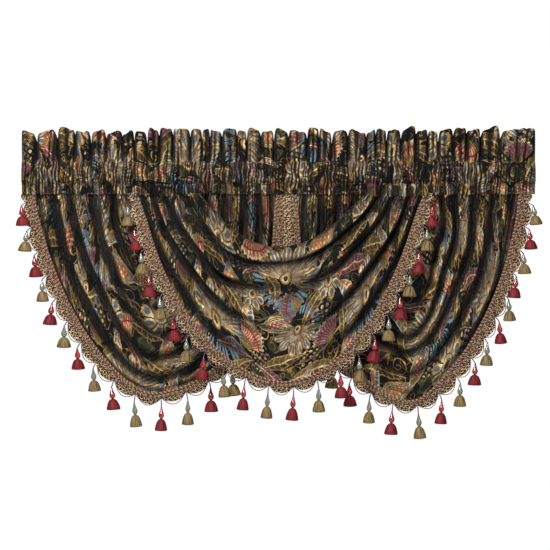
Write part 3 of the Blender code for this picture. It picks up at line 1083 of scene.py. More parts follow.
@dataclass(frozen=True)
class Leaf(Motif):
    """A long bent leaf with a midrib and slanting veins."""

    upper: Thread = Thread.OLIVE
    lower: Thread = Thread.MOSS
    edge: Thread = Thread.GOLD

    def draw(self, drawing: Drawing, x: Term, y: Term) -> None:
        """Draw the leaf.

        Args:
            drawing: The cloth so far.
            x: The point's place in the motif.
            y: The same, upwards.
        """
        bent = y + x.squared() * 0.9 - 0.35
        room = (1.0 - x.squared()) * (x * 0.22 + 1.0)
        side = bent.size()
        whole = side.below(room)
        drawing.lay(whole, self.upper)
        drawing.paint(whole * bent.below(0.0), self.lower)
        vein = (x * 4.2 - side * 0.55).repeated().size()
        drawing.paint(whole * vein.below(0.11), self.edge)
        drawing.paint(whole * side.above(room * 0.80), self.edge)
        drawing.paint(whole * side.below(0.10), Thread.CREAM)


class Berries(Motif):
    """A loose spray of small dots."""

    def draw(self, drawing: Drawing, x: Term, y: Term) -> None:
        """Draw the dots.

        Args:
            drawing: The cloth so far.
            x: The point's place in the motif.
            y: The same, upwards.
        """
        dots = (x * 7.4 + y * 3.1).sine() * (y * 7.4 - x * 3.1).sine()
        spray = (x.squared() + y.squared()).below(1.0)
        drawing.lay(spray * dots.size().above(0.52), Thread.OLIVE)
        drawing.paint(spray * dots.above(0.62), Thread.CREAM)
        drawing.paint(spray * dots.below(-0.68), Thread.LILAC)


class Scroll(Motif):
    """A tendril wound into a spiral."""

    def draw(self, drawing: Drawing, x: Term, y: Term) -> None:
        """Draw the tendril.

        Args:
            drawing: The cloth so far.
            x: The point's place in the motif.
            y: The same, upwards.
        """
        reach, angle = drawing.weaver.polar(x, y)
        turn = (reach * 2.1 - angle * (1 / TAU)).repeated().size()
        drawing.lay(turn.below(0.10) * reach.below(1.0), Thread.GOLD)


@dataclass(frozen=True)
class Jacquard:
    """The floral cloth: generic blooms, fans, drops and leaves, dense on a near-black ground."""

    repeat: tuple[float, float] = (0.42, 0.36)
    weave: float = 0.0011
    motifs: tuple[Motif, ...] = (
        Scroll(
            (
                Spot(0.130, 0.155, 0, 0.030), Spot(0.345, 0.235, 90, 0.028),
                Spot(0.245, 0.300, 180, 0.030), Spot(0.030, 0.250, 30, 0.026),
                Spot(0.225, 0.090, -80, 0.028), Spot(0.400, 0.010, 60, 0.030),
            )
        ),
        Berries(
            (
                Spot(0.150, 0.255, 10, 0.030), Spot(0.040, 0.015, 50, 0.030),
                Spot(0.240, 0.185, 20, 0.028), Spot(0.365, 0.110, 70, 0.030),
                Spot(0.215, 0.020, 35, 0.028), Spot(0.055, 0.330, 0, 0.030),
                Spot(0.340, 0.015, 15, 0.028), Spot(0.170, 0.150, 60, 0.026),
            )
        ),
        Leaf(
            (
                Spot(0.150, 0.130, -30, 0.064), Spot(0.020, 0.060, 80, 0.060),
                Spot(0.350, 0.135, 50, 0.062), Spot(0.240, 0.225, -70, 0.056),
                Spot(0.060, 0.215, 10, 0.060), Spot(0.155, 0.330, 60, 0.058),
                Spot(0.345, 0.345, 0, 0.064), Spot(0.265, 0.020, 20, 0.060),
            ),
            narrow=0.25,
        ),
        Leaf(
            (
                Spot(0.210, 0.250, 30, 0.052), Spot(0.335, 0.200, -45, 0.050),
                Spot(0.055, 0.150, -20, 0.052), Spot(0.140, 0.020, 10, 0.050),
                Spot(0.245, 0.345, -35, 0.048),
            ),
            narrow=0.27,
            upper=Thread.PLUM,
            lower=Thread.CRIMSON,
            edge=Thread.LILAC,
        ),
        Leaf(
            (
                Spot(0.190, 0.110, 100, 0.048), Spot(0.020, 0.120, -60, 0.046),
                Spot(0.325, 0.320, 75, 0.048), Spot(0.400, 0.245, 20, 0.046),
            ),
            narrow=0.28,
            upper=Thread.ORANGE,
            lower=Thread.BLUE,
            edge=Thread.PALE,
        ),
        ShellFan(
            (
                Spot(0.190, 0.065, -40, 0.036), Spot(0.020, 0.185, 70, 0.036),
                Spot(0.205, 0.315, 200, 0.038),
            )
        ),
        ShellFan(
            (
                Spot(0.385, 0.060, 30, 0.034), Spot(0.290, 0.160, 100, 0.034),
            ),
            body=Thread.PLUM,
            ribs=Thread.LILAC,
        ),
        Paisley(
            (
                Spot(0.140, 0.195, 35, 0.044), Spot(0.385, 0.305, -60, 0.046),
            )
        ),
        Paisley(
            (
                Spot(0.245, 0.115, 120, 0.042), Spot(0.020, 0.340, 150, 0.042),
            ),
            band=Thread.OLIVE,
            heart=Thread.ROSE,
            line=Thread.CREAM,
        ),
        RoundBloom(
            (
                Spot(0.095, 0.275, 0, 0.052), Spot(0.195, 0.175, 20, 0.036),
                Spot(0.395, 0.175, 45, 0.042),
            )
        ),
        FanBloom(
            (
                Spot(0.085, 0.085, 15, 0.060), Spot(0.295, 0.265, -25, 0.062),
                Spot(0.300, 0.075, 160, 0.044),
            )
        ),
    )

    def stems(self, drawing: Drawing, x: Term, y: Term) -> None:
        """Draw thin stems that wave across the repeat, beneath the flowers.

        Args:
            drawing: The cloth so far.
            x: The point's place on the cloth.
            y: The same, upwards.
        """
        width, height = self.repeat
        for start, swing, shift, turns, thread in (
            (0.04, 0.030, 0.4, 1, Thread.GOLD),
            (0.16, 0.045, 2.1, 1, Thread.OLIVE),
            (0.27, 0.035, 4.0, 2, Thread.GOLD),
        ):
            wave = (x * (TAU * turns / width) + shift).sine() * (swing / height)
            off = (y * (1 / height) - wave - start / height).repeated().size()
            drawing.lay(off.below(0.0018 / height), thread)

    def undergrowth(self, drawing: Drawing, place: Socket) -> None:
        """Fill the ground with dull leafy patches and thin wandering tendrils.

        Args:
            drawing: The cloth so far.
            place: The point on the cloth.
        """
        field = drawing.weaver.noise(place, 27.0, 1.0)
        drawing.paint(field.above(0.55), Thread.MOSS)
        drawing.lay(field.within(0.555, 0.010), Thread.OLIVE)
        drawing.lay(field.within(0.625, 0.007), Thread.GOLD)
        drawing.lay(field.within(0.420, 0.006), Thread.GOLD)

    def drawn_by_hand(self, weaver: Weaver, place: Socket) -> Socket:
        """Make the pattern's lines waver, broadly and finely.

        Args:
            weaver: The tree's writer.
            place: The point on the cloth.

        Returns:
            The point, moved a little.
        """
        for scale, reach in ((16.0, 0.022), (90.0, 0.0045)):
            cloud = weaver.cloud(place, scale, 1.0)
            offset = weaver.vector("SUBTRACT", cloud.outputs["Color"], (0.5, 0.5, 0.5))
            place = weaver.vector("ADD", place, weaver.vector("MULTIPLY", offset, (reach, reach, 0.0)))
        return place

    def group(self) -> bpy.types.NodeTree:
        """Make the cloth's node group: a place on the cloth in, its colour and height out.

        Returns:
            The group.
        """
        tree = bpy.data.node_groups.new("floral jacquard", "ShaderNodeTree")
        for name, way, kind in (
            ("Place", "INPUT", "NodeSocketVector"),
            ("Color", "OUTPUT", "NodeSocketColor"),
            ("Height", "OUTPUT", "NodeSocketFloat"),
        ):
            tree.interface.new_socket(name, in_out=way, socket_type=kind)
        weaver = Weaver(tree)
        given = weaver.add("NodeGroupInput").outputs["Place"]
        place = self.drawn_by_hand(weaver, given)
        x, y = weaver.apart(place)
        drawing = Drawing(weaver, Thread.GROUND.linear, weaver.maths("MULTIPLY", x, 0.0))
        self.undergrowth(drawing, place)
        self.stems(drawing, x, y)
        for motif in self.motifs:
            local_x, local_y = motif.nearest(weaver, place, self.repeat)
            motif.draw(drawing, local_x, local_y)
        speckle = weaver.noise(place, 380.0)
        streak = weaver.noise(weaver.vector("MULTIPLY", place, (1.0, 0.18, 1.0)), 620.0, 1.0)
        patch = weaver.noise(place, 55.0, 1.0)
        worn = (1.55 - speckle * 0.9 - streak * 1.1 - (patch - 0.5) * 1.5) * 1.1
        shade = weaver.mixed(worn.most(0.0).least(0.8), drawing.colour, Thread.BROWN.linear)
        shaded = weaver.mixed(drawing.raised, drawing.colour, shade)
        ribs = (x * (TAU / self.weave)).sine() * (y * (TAU / self.weave)).sine()
        height = drawing.raised * 0.6 + ribs * 0.25 + speckle * 0.4
        out = weaver.add("NodeGroupOutput")
        weaver.feed(out.inputs["Color"], shaded)
        weaver.feed(out.inputs["Height"], height)
        LOG.info("floral jacquard: %d nodes", len(tree.nodes))
        return tree


class Side(Enum):
    """The two sides of the woven cloth."""

    FACE = "face"
    REVERSE = "reverse"


class Finishes:
    """The materials of the valance."""

    def __init__(self) -> None:
        """Make them all."""
        self.jacquard = Jacquard().group()
        # The faces get painted shade in their creases, 2.1 strong on the heading and 1.85 on the swags.
        self.heading = self.cloth("heading jacquard", Side.FACE, 2.1)
        self.heading_reverse = self.cloth("heading jacquard reverse", Side.REVERSE)
        self.swag = self.cloth("swag jacquard", Side.FACE, 1.85)
        self.swag_reverse = self.cloth("swag jacquard reverse", Side.REVERSE)
        self.braid = self.twisted("braid cord", (Thread.DUSKY, Thread.ECRU, Thread.BROWN), 0.0120)
        self.border = self.twisted("border cord", (Thread.ECRU, Thread.SHADOW, Thread.DUSKY), 0.0150)
        self.loop = self.twisted("loop cord", (Thread.GROUND, Thread.LILAC, Thread.BROWN), 0.0060)
        self.tape = self.crochet("tape", Thread.ECRU, Thread.BROWN, 0.0086)
        self.lace = self.crochet("lace", Thread.LINEN, Thread.BROWN, 0.0098)
        self.red_bead = self.bead("red bead", (0.27, 0.016, 0.018), (0.07, 0.004, 0.006), 0.25)
        self.smoke_bead = self.bead("smoke bead", (0.20, 0.21, 0.15), (0.05, 0.055, 0.04), 0.35)
        self.red_yarn = self.yarn("crimson yarn", (128, 32, 38), (62, 8, 14))
        self.gold_yarn = self.yarn("gold yarn", (140, 118, 76), (58, 44, 26))
        self.band = (self.braid, self.border, self.tape, self.lace)
        self.hanging = (self.red_bead, self.smoke_bead, self.red_yarn, self.gold_yarn, self.loop)

    def fresh(self, name: str, roughness: float) -> tuple[Material, Weaver, bpy.types.Node]:
        """Make a material with its shader.

        Args:
            name: The material's name.
            roughness: How rough it is.

        Returns:
            The material, its tree's writer and the shader.
        """
        made = bpy.data.materials.new(name)
        made.use_nodes = True
        shader = made.node_tree.nodes["Principled BSDF"]
        set_sockets(shader, {"Roughness": roughness})
        return made, Weaver(made.node_tree), shader

    def bumped(
        self, weaver: Weaver, shader: bpy.types.Node, height: Source, depth: float, strength: float
    ) -> None:
        """Give a shader a bump.

        Args:
            weaver: The tree's writer.
            shader: The shader.
            height: The height, from 0 to about 1.
            depth: What a height of 1 measures, in metres.
            strength: How strongly it shows.
        """
        bump = weaver.add("ShaderNodeBump")
        set_sockets(bump, {"Distance": depth, "Strength": strength})
        weaver.feed(bump.inputs["Height"], height)
        weaver.feed(shader.inputs["Normal"], bump.outputs["Normal"])

    def cloth(self, name: str, side: Side, crease: float = 0.0) -> Material:
        """Make one side of the floral cloth.

        Args:
            name: The material's name.
            side: The face, with painted shade in its creases, or the duller reverse.
            crease: How strongly shade is painted into the face's creases.

        Returns:
            The material.
        """
        made, weaver, shader = self.fresh(name, 0.8)
        pattern = weaver.add("ShaderNodeGroup")
        pattern.node_tree = self.jacquard
        weaver.feed(pattern.inputs["Place"], weaver.uv())
        colour = pattern.outputs["Color"]
        if side is Side.FACE:
            # Painted shade: the face's colour is mixed towards near-black where the attribute Openness
            # says the cloth lies deep in a crease.
            light = weaver.add("ShaderNodeAttribute")
            light.attribute_name = "Openness"
            shade = 1.0 - Term(weaver, light.outputs["Fac"])
            dark = (shade * crease).least(0.93)
            colour = weaver.mixed(dark, colour, (0.0012, 0.0010, 0.0010, 1.0))
        else:
            colour = weaver.mixed(0.55, colour, Thread.BROWN.linear)
        weaver.feed(shader.inputs["Base Color"], colour)
        set_sockets(shader, {"Sheen Weight": 0.02, "Specular IOR Level": 0.12})
        self.bumped(weaver, shader, pattern.outputs["Height"], 0.0006, 0.7)
        return made

    def twisted(self, name: str, threads: Sequence[Thread], pitch: float) -> Material:
        """Make a twisted cord of three yarns: U runs along it in metres and V once round it.

        Args:
            name: The material's name.
            threads: The three yarns' colours.
            pitch: How far the cord runs in one turn.

        Returns:
            The material.
        """
        made, weaver, shader = self.fresh(name, 0.65)
        along, around = weaver.apart(weaver.uv())
        turn = (along * (1 / pitch) + around).repeated() + 0.5
        colour = weaver.mixed(turn.above(0.36), threads[0].linear, threads[1].linear)
        colour = weaver.mixed(turn.above(0.68), colour, threads[2].linear)
        weaver.feed(shader.inputs["Base Color"], colour)
        crown = (turn * (3 * TAU)).sine() * 0.5
        self.bumped(weaver, shader, crown, 0.0005, 0.8)
        return made

    def crochet(self, name: str, light: Thread, ground_thread: Thread, cell: float) -> Material:
        """Make a looped lace ground, its gaps painted dark as shade, with U along it and V across it in
        metres.

        Args:
            name: The material's name.
            light: The thread's colour.
            ground_thread: The colour of the finer threads between the loops.
            cell: The size of a loop.

        Returns:
            The material.
        """
        made, weaver, shader = self.fresh(name, 0.8)
        place = weaver.uv()
        x, y = weaver.apart(place)
        wander = weaver.noise(place, 95.0)
        across = (x * (1 / cell) + wander * 1.1).repeated()
        up = (y * (1 / cell) + wander * 0.7).repeated()
        reach = (across.squared() + up.squared()).root()
        thread = reach.within(0.36, 0.10)
        tint = weaver.noise(place, 130.0)
        lit = weaver.mixed(tint.above(0.54), light.linear, Thread.DUSKY.linear)
        lit = weaver.mixed(tint.above(0.62), lit, Thread.GOLD.linear)
        # Painted shade: the gaps between the loops are near-black SHADOW, mixed towards the finer threads'
        # colour by noise.
        gap = (weaver.noise(place, 240.0) - 0.50) * 3.0
        ground = weaver.mixed(gap.most(0.0).least(1.0), Thread.SHADOW.linear, ground_thread.linear)
        weaver.feed(shader.inputs["Base Color"], weaver.mixed(thread, ground, lit))
        set_sockets(shader, {"Specular IOR Level": 0.2})
        self.bumped(weaver, shader, thread, 0.0009, 0.9)
        return made

    def bead(self, name: str, light: Colour, dark: Colour, clear: float) -> Material:
        """Make a glossy bead, with V down it from 0 to 1.

        Args:
            name: The material's name.
            light: Its colour where it is palest, painted there as light.
            dark: Its colour at its ends, painted there as shade.
            clear: How much light passes through it.

        Returns:
            The material.
        """
        made, weaver, shader = self.fresh(name, 0.12)
        _, down = weaver.apart(weaver.uv())
        # Painted shade: the colour darkens from a pale band near the bead's middle towards its top and
        # bottom.
        painted_end_shade = ((down - 0.55) * 1.8).squared().least(1.0)
        weaver.feed(shader.inputs["Base Color"], weaver.mixed(painted_end_shade, (*light, 1.0), (*dark, 1.0)))
        set_sockets(shader, {"Transmission Weight": clear, "Coat Weight": 0.5})
        return made

    def yarn(self, name: str, light: Colour, dark: Colour) -> Material:
        """Make a tassel's cut yarn: U round it and V down it.

        Args:
            name: The material's name.
            light: The yarn's colour on a screen.
            dark: Its colour between the strands, painted there as shade.

        Returns:
            The material.
        """
        made, weaver, shader = self.fresh(name, 0.6)
        place = weaver.uv()
        strands = weaver.noise(weaver.vector("MULTIPLY", place, (40.0, 1.2, 1.0)), 1.0, 2.0)
        # Painted shade: the colour falls to the dark one between the strands.
        share = ((strands - 0.35) * 3.2).most(0.0).least(1.0)
        weaver.feed(shader.inputs["Base Color"], weaver.mixed(share, as_light(dark), as_light(light)))
        set_sockets(shader, {"Specular IOR Level": 0.2})
        self.bumped(weaver, shader, strands, 0.0008, 0.8)
        return made


def laid_out(points: Array, heights: Array, total: Optional[float]) -> Array:
    """Lay gathered cloth out flat along its second axis, with the spare cloth hidden in the valleys.

    Args:
        points: Points as (lines, steps, 3).
        heights: How far each point stands forward.
        total: The cloth's real length, or None for the middle line's own.

    Returns:
        The distance along each line, as (lines, steps).
    """
    lengths = np.linalg.norm(np.diff(points, axis=1), axis=-1)
    sums = lengths.sum(axis=1)
    target = sums[len(sums) // 2] if total is None else total
    middle = (heights[:, 1:] + heights[:, :-1]) / 2
    top = middle.max(axis=1, keepdims=True)
    bottom = middle.min(axis=1, keepdims=True)
    hidden = ((top - middle) / np.maximum(top - bottom, 1e-6)) ** 3 * lengths + 1e-9
    spare = np.maximum(target - sums, 0.0)[:, None]
    lengths = lengths + spare * hidden / hidden.sum(axis=1, keepdims=True)
    lengths = lengths * (target / lengths.sum(axis=1, keepdims=True))
    return np.concatenate([np.zeros((len(points), 1)), np.cumsum(lengths, axis=1)], axis=1)


def turned(uvs: Array, angle: float) -> Array:
    """Turn the way a cloth's pattern lies on it.

    Args:
        uvs: The places on the cloth.
        angle: The angle in radians.

    Returns:
        The places, turned.
    """
    sine, cosine = math.sin(angle), math.cos(angle)
    u, v = uvs[..., 0], uvs[..., 1]
    return np.stack([u * cosine - v * sine, u * sine + v * cosine], axis=-1)


@dataclass(frozen=True)
class SwagCloth:
    """The cloth of one swag: a thin sheet on its solid's folds, with finer gathers at its ends."""

    shape: SwagShape
    columns: int = 250
    rows: int = 170
    thickness: float = 0.0011
    ridge_depth: float = 1.75
    valley_depth: float = 1.6
    overhang: float = 0.75
    roundness: float = 1.7
    gather_share: float = 0.24
    gather_rise: float = 0.0034
    gather_slant: float = 0.6
    gather_fade: float = 1.3
    inset_rate: float = 12
    shade_reach: int = 16
    pattern_offset: tuple[float, float] = (0.37, 0.23)

    def fold_rise(self, shares: Array, places: Array) -> Array:
        """Work out how far the main folds come forward.

        Args:
            shares: Shares of the hem, one a column.
            places: Shares of the way from the upper edge to the hem, one a row.

        Returns:
            The rises in metres, as (columns, rows).
        """
        rise = np.zeros((len(shares), len(places)))
        grid = np.broadcast_to(places, rise.shape)
        for first, second in zip(self.shape.folds, self.shape.folds[1:]):
            start, end = first.place(shares)[:, None], second.place(shares)[:, None]
            low, high = first.rise(shares)[:, None], second.rise(shares)[:, None]
            part = np.clip((grid - start) / np.maximum(end - start, 1e-6), 0.0, 1.0)
            falling = high + (low - high) * (1 - part**self.roundness)
            rising = low + (high - low) * (1 - (1 - part) ** self.roundness)
            here = (grid >= start) & (grid <= end)
            rise = np.where(here, np.where(low > high, falling, rising), rise)
        away = np.clip(np.minimum(shares, 1 - shares) / FILL_SHARE, 0.0, 1.0)[:, None]
        depth = np.where(rise > 0, self.ridge_depth, self.valley_depth)
        return rise * depth - self.shape.body_shift * away

    def points(self) -> Array:
        """Shape the sheet: its main folds, its gathers near the seam and its creases.

        Returns:
            The points, as (columns, rows, 3).
        """
        shares = np.linspace(0.0, 1.0, self.columns)
        places = np.linspace(0.0, 1.0, self.rows)
        upper, hem = MeasuredEdge(self.shape.upper), MeasuredEdge(self.shape.hem)
        top, low = upper.at(shares)[:, None, :], hem.at(shares)[:, None, :]
        flat = top + (low - top) * places[None, :, None]
        rise = self.fold_rise(shares, places)
        inset = np.clip(places * (1 - places) * self.inset_rate, 0.0, 1.0)[None, :]
        from_end = np.minimum(shares, 1 - shares)[:, None]
        down = from_end * hem.length
        span = low - top
        near = np.where(shares < 0.5, 0, -1)
        sewn_x = top[near, 0, 0][:, None] + span[near, 0, 0][:, None] * places[None, :]
        gathers = POCKET_GATHERS.rise(sewn_x, SEAM_Z - down * self.gather_slant)
        fade = np.clip(1 - from_end / self.gather_share, 0.0, 1.0) ** self.gather_fade
        rise = rise + inset * self.gather_rise * fade * gathers
        widths = np.linalg.norm(span[:, 0], axis=-1)
        for crease in self.shape.creases:
            rise = rise + inset * crease.rise(shares, places, widths)
        way = span / np.maximum(np.linalg.norm(span, axis=-1, keepdims=True), 1e-6)
        plumb = np.clip(-way[..., 1], 0.0, 1.0)
        slip = self.overhang * np.maximum(rise, 0.0) * plumb * inset
        flat = flat + way * slip[..., None]
        y = self.shape.body(shares)[:, None] - rise
        return np.stack([flat[..., 0], y, np.minimum(flat[..., 1], SEAM_Z - SEWN_GAP)], axis=-1)

    def depth_at(self, shares: Array, places: Array) -> Array:
        """Read how far back the cloth lies.

        Args:
            shares: Shares of the hem.
            places: Shares of the way from the upper edge to the hem, one for each of them.

        Returns:
            The y at each pair.
        """
        table = self.points()[..., 1]
        column = np.asarray(shares) * (self.columns - 1)
        row = np.asarray(places) * (self.rows - 1)
        left = np.minimum(column.astype(int), self.columns - 2)
        above = np.minimum(row.astype(int), self.rows - 2)
        right_share = column - left
        low_share = row - above
        upper = table[left, above] * (1 - right_share) + table[left + 1, above] * right_share
        lower = table[left, above + 1] * (1 - right_share) + table[left + 1, above + 1] * right_share
        return upper * (1 - low_share) + lower * low_share

    def uvs(self, points: Array) -> Array:
        """Lay the cloth out flat: U along the folds from the middle column, V from the hem up.

        Args:
            points: The cloth's points.

        Returns:
            The UVs in metres, as (columns, rows, 2).
        """
        middle = self.columns // 2
        along = np.linalg.norm(np.diff(points, axis=0), axis=-1)
        u = np.concatenate([np.zeros((1, self.rows)), np.cumsum(along, axis=0)])
        u = u - u[middle : middle + 1]
        v = laid_out(points, -points[..., 1], None)
        return np.stack([u, v[:, -1:] - v], axis=-1)

    def build(self, sides: Sequence[Material], trims: Sequence[Object]) -> Object:
        """Make the swag's piece.

        Args:
            sides: The cloth's face and reverse.
            trims: The pieces sewn to its hem; not used.

        Returns:
            The piece.
        """
        points = self.points()
        uvs = self.uvs(points)
        lain = turned(uvs, self.shape.pattern_turn) + np.array(self.pattern_offset) * self.shape.seed
        light = openness(points, -points[..., 1], self.shade_reach)
        sheet = grid_chunk(points[:, ::-1], lain[:, ::-1])
        made = piece_from(f"cloth_swag_{self.shape.name}", [sheet], sides, light[:, ::-1])
        thicken(made, self.thickness)
        width = float(uvs[-1, -1, 0] - uvs[0, -1, 0])
        length = float(uvs[0, 0, 1])
        run_u = np.diff(uvs[..., 0], axis=0)
        area = float((run_u[:, :-1] * -np.diff(uvs[:-1, :, 1], axis=1)).sum())
        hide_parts(f"swag_{self.shape.name}")
        LOG.info("%s swag: %.3f by %.3f m, %.3f square metres", self.shape.name, width, length, area)
        return made


@dataclass(frozen=True)
class Pleats:
    """The ruffle's pleats, read at points along it."""

    phase: Array
    width: Array
    notch: Array
    lift: Array
    tilt: Array


@dataclass(frozen=True)
class Heading:
    """The gathered heading: one sheet that runs up the front, over the ruffle and down the back.

    Its sections are stretches of the ruffle, each with a share of the width and a number of pleats.
    """

    swags: Sequence[SwagCloth]
    width: float = 1.245
    stitch_z: float = 0.036
    lower_z: float = SEAM_Z - 0.0070
    edge_sag: float = 0.0070
    edge_wrinkle: float = 0.0034
    merge_z: float = -0.016
    merged_z: float = -0.029
    rearmost: float = 0.0050
    cover: float = 0.0024
    trim_cover: float = 0.0040
    trim_reach: float = 0.026
    top_z: float = 0.111
    half_pocket: float = 0.0128
    sewn_half: float = 0.0095
    groove_z: float = -0.019
    groove_half: float = 0.0060
    wrinkle_rise: float = 0.0115
    top_wave: float = 0.0130
    stitched_wave: float = 0.0014
    puff: float = 0.0012
    notch_depth: float = 0.034
    notch_sharpness: float = 3.2
    tilt: float = 0.008
    most_lift: float = 0.006
    corner_drop: float = 0.005
    last_turn: float = 0.4 * math.pi
    loop_swell: float = 0.12
    turned_in: float = 0.35
    columns: int = 700
    front_rows: int = 39
    end_share: float = 0.012
    shade_reach: int = 12
    fullness: float = 1.65
    pattern_turn: float = 0.55
    thickness: float = 0.0009
    crest_share: float = 0.30
    valley_share: float = 0.80
    sections: tuple[tuple[float, int], ...] = (
        (0.097, 2), (0.214, 6), (0.107, 3), (0.112, 4), (0.087, 3), (0.085, 2), (0.056, 2),
        (0.087, 2), (0.145, 5), (0.129, 4), (0.052, 1), (0.074, 1),
    )

    def pleats(self, x: Array) -> Pleats:
        """Work out which pleat each x lies in, and where.

        Args:
            x: Places along the heading.

        Returns:
            The pleats there.
        """
        choose = random.Random(12)
        total = sum(width for width, _ in self.sections)
        start = -self.width / 2
        marks, turns, widths = [start], [-math.pi / 2], [0.04]
        depths, lifts, tilts = [0.4], [0.0], [0.0]
        count = 0
        for width, pleats in self.sections:
            shares = [choose.uniform(0.60, 1.45) for _ in range(pleats)]
            for share in shares:
                pleat = width * self.width / total * share / sum(shares)
                marks += [start + pleat * self.crest_share, start + pleat * self.valley_share]
                turns += [count * TAU, count * TAU + math.pi]
                widths += [pleat, pleat]
                depths += [depths[-1], choose.uniform(0.30, 1.0)]
                lifts += [choose.uniform(-self.most_lift, self.most_lift)] * 2
                tilts += [choose.uniform(-self.tilt, self.tilt), 0.0]
                start += pleat
                count += 1
        marks[-1] = self.width / 2
        turns[-1] = turns[-2] + self.last_turn
        return Pleats(*(np.interp(x, marks, table) for table in (turns, widths, depths, lifts, tilts)))

    def points(self) -> Array:
        """Shape the sheet: up the front, over the ruffle and down the back.

        Returns:
            The points, as (columns, rows, 3).
        """
        x = np.linspace(-self.width / 2, self.width / 2, self.columns)
        pleats = self.pleats(x)
        phase = pleats.phase
        unevenness = 1 + 0.22 * np.sin(phase / 3.1 + 0.4) + 0.16 * np.sin(phase / 1.7 + 2.0)
        double = 0.5 + 0.5 * np.sin(phase / 1.9 + 0.7)
        wave = (2 * np.abs(np.cos(phase / 2)) ** 0.7 - 1) * unevenness
        wave = wave + double * 0.55 * (2 * np.abs(np.sin(phase)) ** 0.8 - 1)
        notch = np.clip(0.5 - 0.5 * np.cos(phase), 0.0, 1.0) ** self.notch_sharpness
        top = self.top_z + pleats.lift - self.notch_depth * notch * pleats.notch
        top = top + pleats.tilt * np.sin(phase)
        ends = np.clip((self.width / 2 - np.abs(x)) / self.end_share, 0.0, 1.0)
        top = top + 0.0015 * FINE_GATHERS.rise(x, 0.0) - self.corner_drop * (1 - ends) ** 2
        sewn = self.sewn(x)

        def ruffle(share: float, side: float) -> Array:
            """Place one row of the ruffle.

            Args:
                share: Its share of the ruffle's height.
                side: The front (-1) or the back (1).

            Returns:
                The row's points.
            """
            z = self.stitch_z + (top - self.stitch_z) * share
            amount = self.stitched_wave + (self.top_wave - self.stitched_wave) * share**0.8
            small = FINE_GATHERS.rise(x, share * 0.05) * 0.0030 * (1 - 0.4 * share)
            pinch = POCKET_GATHERS.rise(x, z) * 0.0012 * (1 - share) ** 2
            puff = self.puff * math.sin(math.pi * share**2)
            y = side * (0.0011 + puff) - ends * (wave * amount + small + pinch)
            swell = self.loop_swell * pleats.width * np.sin(phase) * share * ends
            return np.stack([x + swell, y, z], axis=-1)

        def pocket(z: float, side: float) -> Array:
            """Place one row of the pocket.

            Args:
                z: Its height.
                side: The front (-1) or the back (1).

            Returns:
                The row's points.
            """
            heights = (self.lower_z, SEAM_Z, self.groove_z, -0.012, 0.014, 0.030, self.stitch_z)
            edge, full = self.sewn_half, self.half_pocket
            groove = self.groove_half if side < 0 else edge
            bulge = np.interp(z, heights, (edge, edge, groove, full, full, 0.0065, 0.0012))
            loose = np.interp(z, heights, (0.30, 0.45, 0.55, 1.0, 1.0, 0.7, 0.35))
            wrinkle = 0.5 + 0.5 * POCKET_GATHERS.rise(x if side < 0 else x + 0.5, z)
            broad = 0.5 + 0.5 * FINE_GATHERS.rise(x, 0.0)
            lift = loose * (self.wrinkle_rise * (0.7 * wrinkle + 0.3 * broad))
            y = side * (bulge + lift * ends)
            hang = 0.55 * (wrinkle - 1) + 0.45 * broad
            if side < 0:
                low = smooth(np.clip((self.merge_z - z) / (self.merge_z - self.merged_z), 0.0, 1.0))
                y = y * (1 - low) + (sewn - self.edge_wrinkle * wrinkle * ends) * low
                hang = 0.5 * (wrinkle - 0.5) + np.clip((self.rearmost - sewn) / 0.012, 0.0, 1.4) - 0.5
            slope = 0.0016 * loose * np.sin(TAU * z / 0.05 + phase / 2) * ends
            sag = np.interp(z, (self.lower_z, self.lower_z + 0.014), (self.edge_sag, 0.0)) * -hang
            return np.stack([x + slope, y, z + sag], axis=-1)

        rows = [pocket(float(z), -1.0) for z in np.linspace(self.lower_z, self.stitch_z, 24)[:-1]]
        rows += [ruffle(float(share), -1.0) for share in np.linspace(0.0, 1.0, 16)]
        rows += [ruffle(float(share), 1.0) for share in np.linspace(1.0, 0.0, 10)]
        rows += [pocket(float(z), 1.0) for z in np.linspace(self.stitch_z, self.lower_z, 12)[1:]]
        rows.append(pocket(self.lower_z, -self.turned_in))
        return np.stack(rows, axis=1)

    def sewn(self, x: Array) -> Array:
        """Work out where the front's lower edge lies, just in front of the swags sewn to it.

        Args:
            x: Places along the heading.

        Returns:
            The edge's y at each.
        """
        y = np.full_like(x, self.rearmost)
        cover = np.full_like(x, self.cover)
        for swag in self.swags:
            points = swag.points()
            for end in (points[0], points[2], points[-3], points[-1]):
                end = end[np.argsort(end[:, 0])]
                there = np.interp(x, end[:, 0], end[:, 1], left=self.rearmost, right=self.rearmost)
                y = np.minimum(y, there)
            for trim_x in (points[0, -1, 0], points[-1, -1, 0]):
                near = np.clip(1 - ((x - trim_x) / self.trim_reach) ** 2, 0.0, 1.0)
                cover = np.maximum(cover, self.cover + self.trim_cover * near)
        padded = np.concatenate([y[:1], y, y[-1:]])
        return np.minimum((padded[:-2] + y + padded[2:]) / 3, y) - cover

    def build(self, sides: Sequence[Material]) -> Object:
        """Make the heading's piece.

        Args:
            sides: The cloth's face and reverse.

        Returns:
            The piece.
        """
        points = self.points()
        total = self.width * self.fullness
        front = points[:, : self.front_rows].mean(axis=1)
        u = laid_out(front[None], -front[None, :, 1], total)[0][:, None]
        u = np.broadcast_to(u, points.shape[:2])
        steps = np.linalg.norm(np.diff(points, axis=1), axis=-1).mean(axis=0)
        v = np.concatenate([[0.0], np.cumsum(steps)])
        flat = np.stack([u, np.broadcast_to(v, u.shape)], axis=-1)
        uvs = turned(flat, self.pattern_turn)
        facing = np.where(np.arange(points.shape[1]) < self.front_rows, -1.0, 1.0)
        rows = points.transpose(1, 0, 2)
        light = openness(rows, rows[..., 1] * facing[:, None], self.shade_reach).T
        made = piece_from("cloth_heading", [grid_chunk(points, uvs)], sides, light)
        thicken(made, self.thickness)
        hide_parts("heading")
        LOG.info("heading is cut %.3f by %.3f m", total, float(v[-1]))
        return made


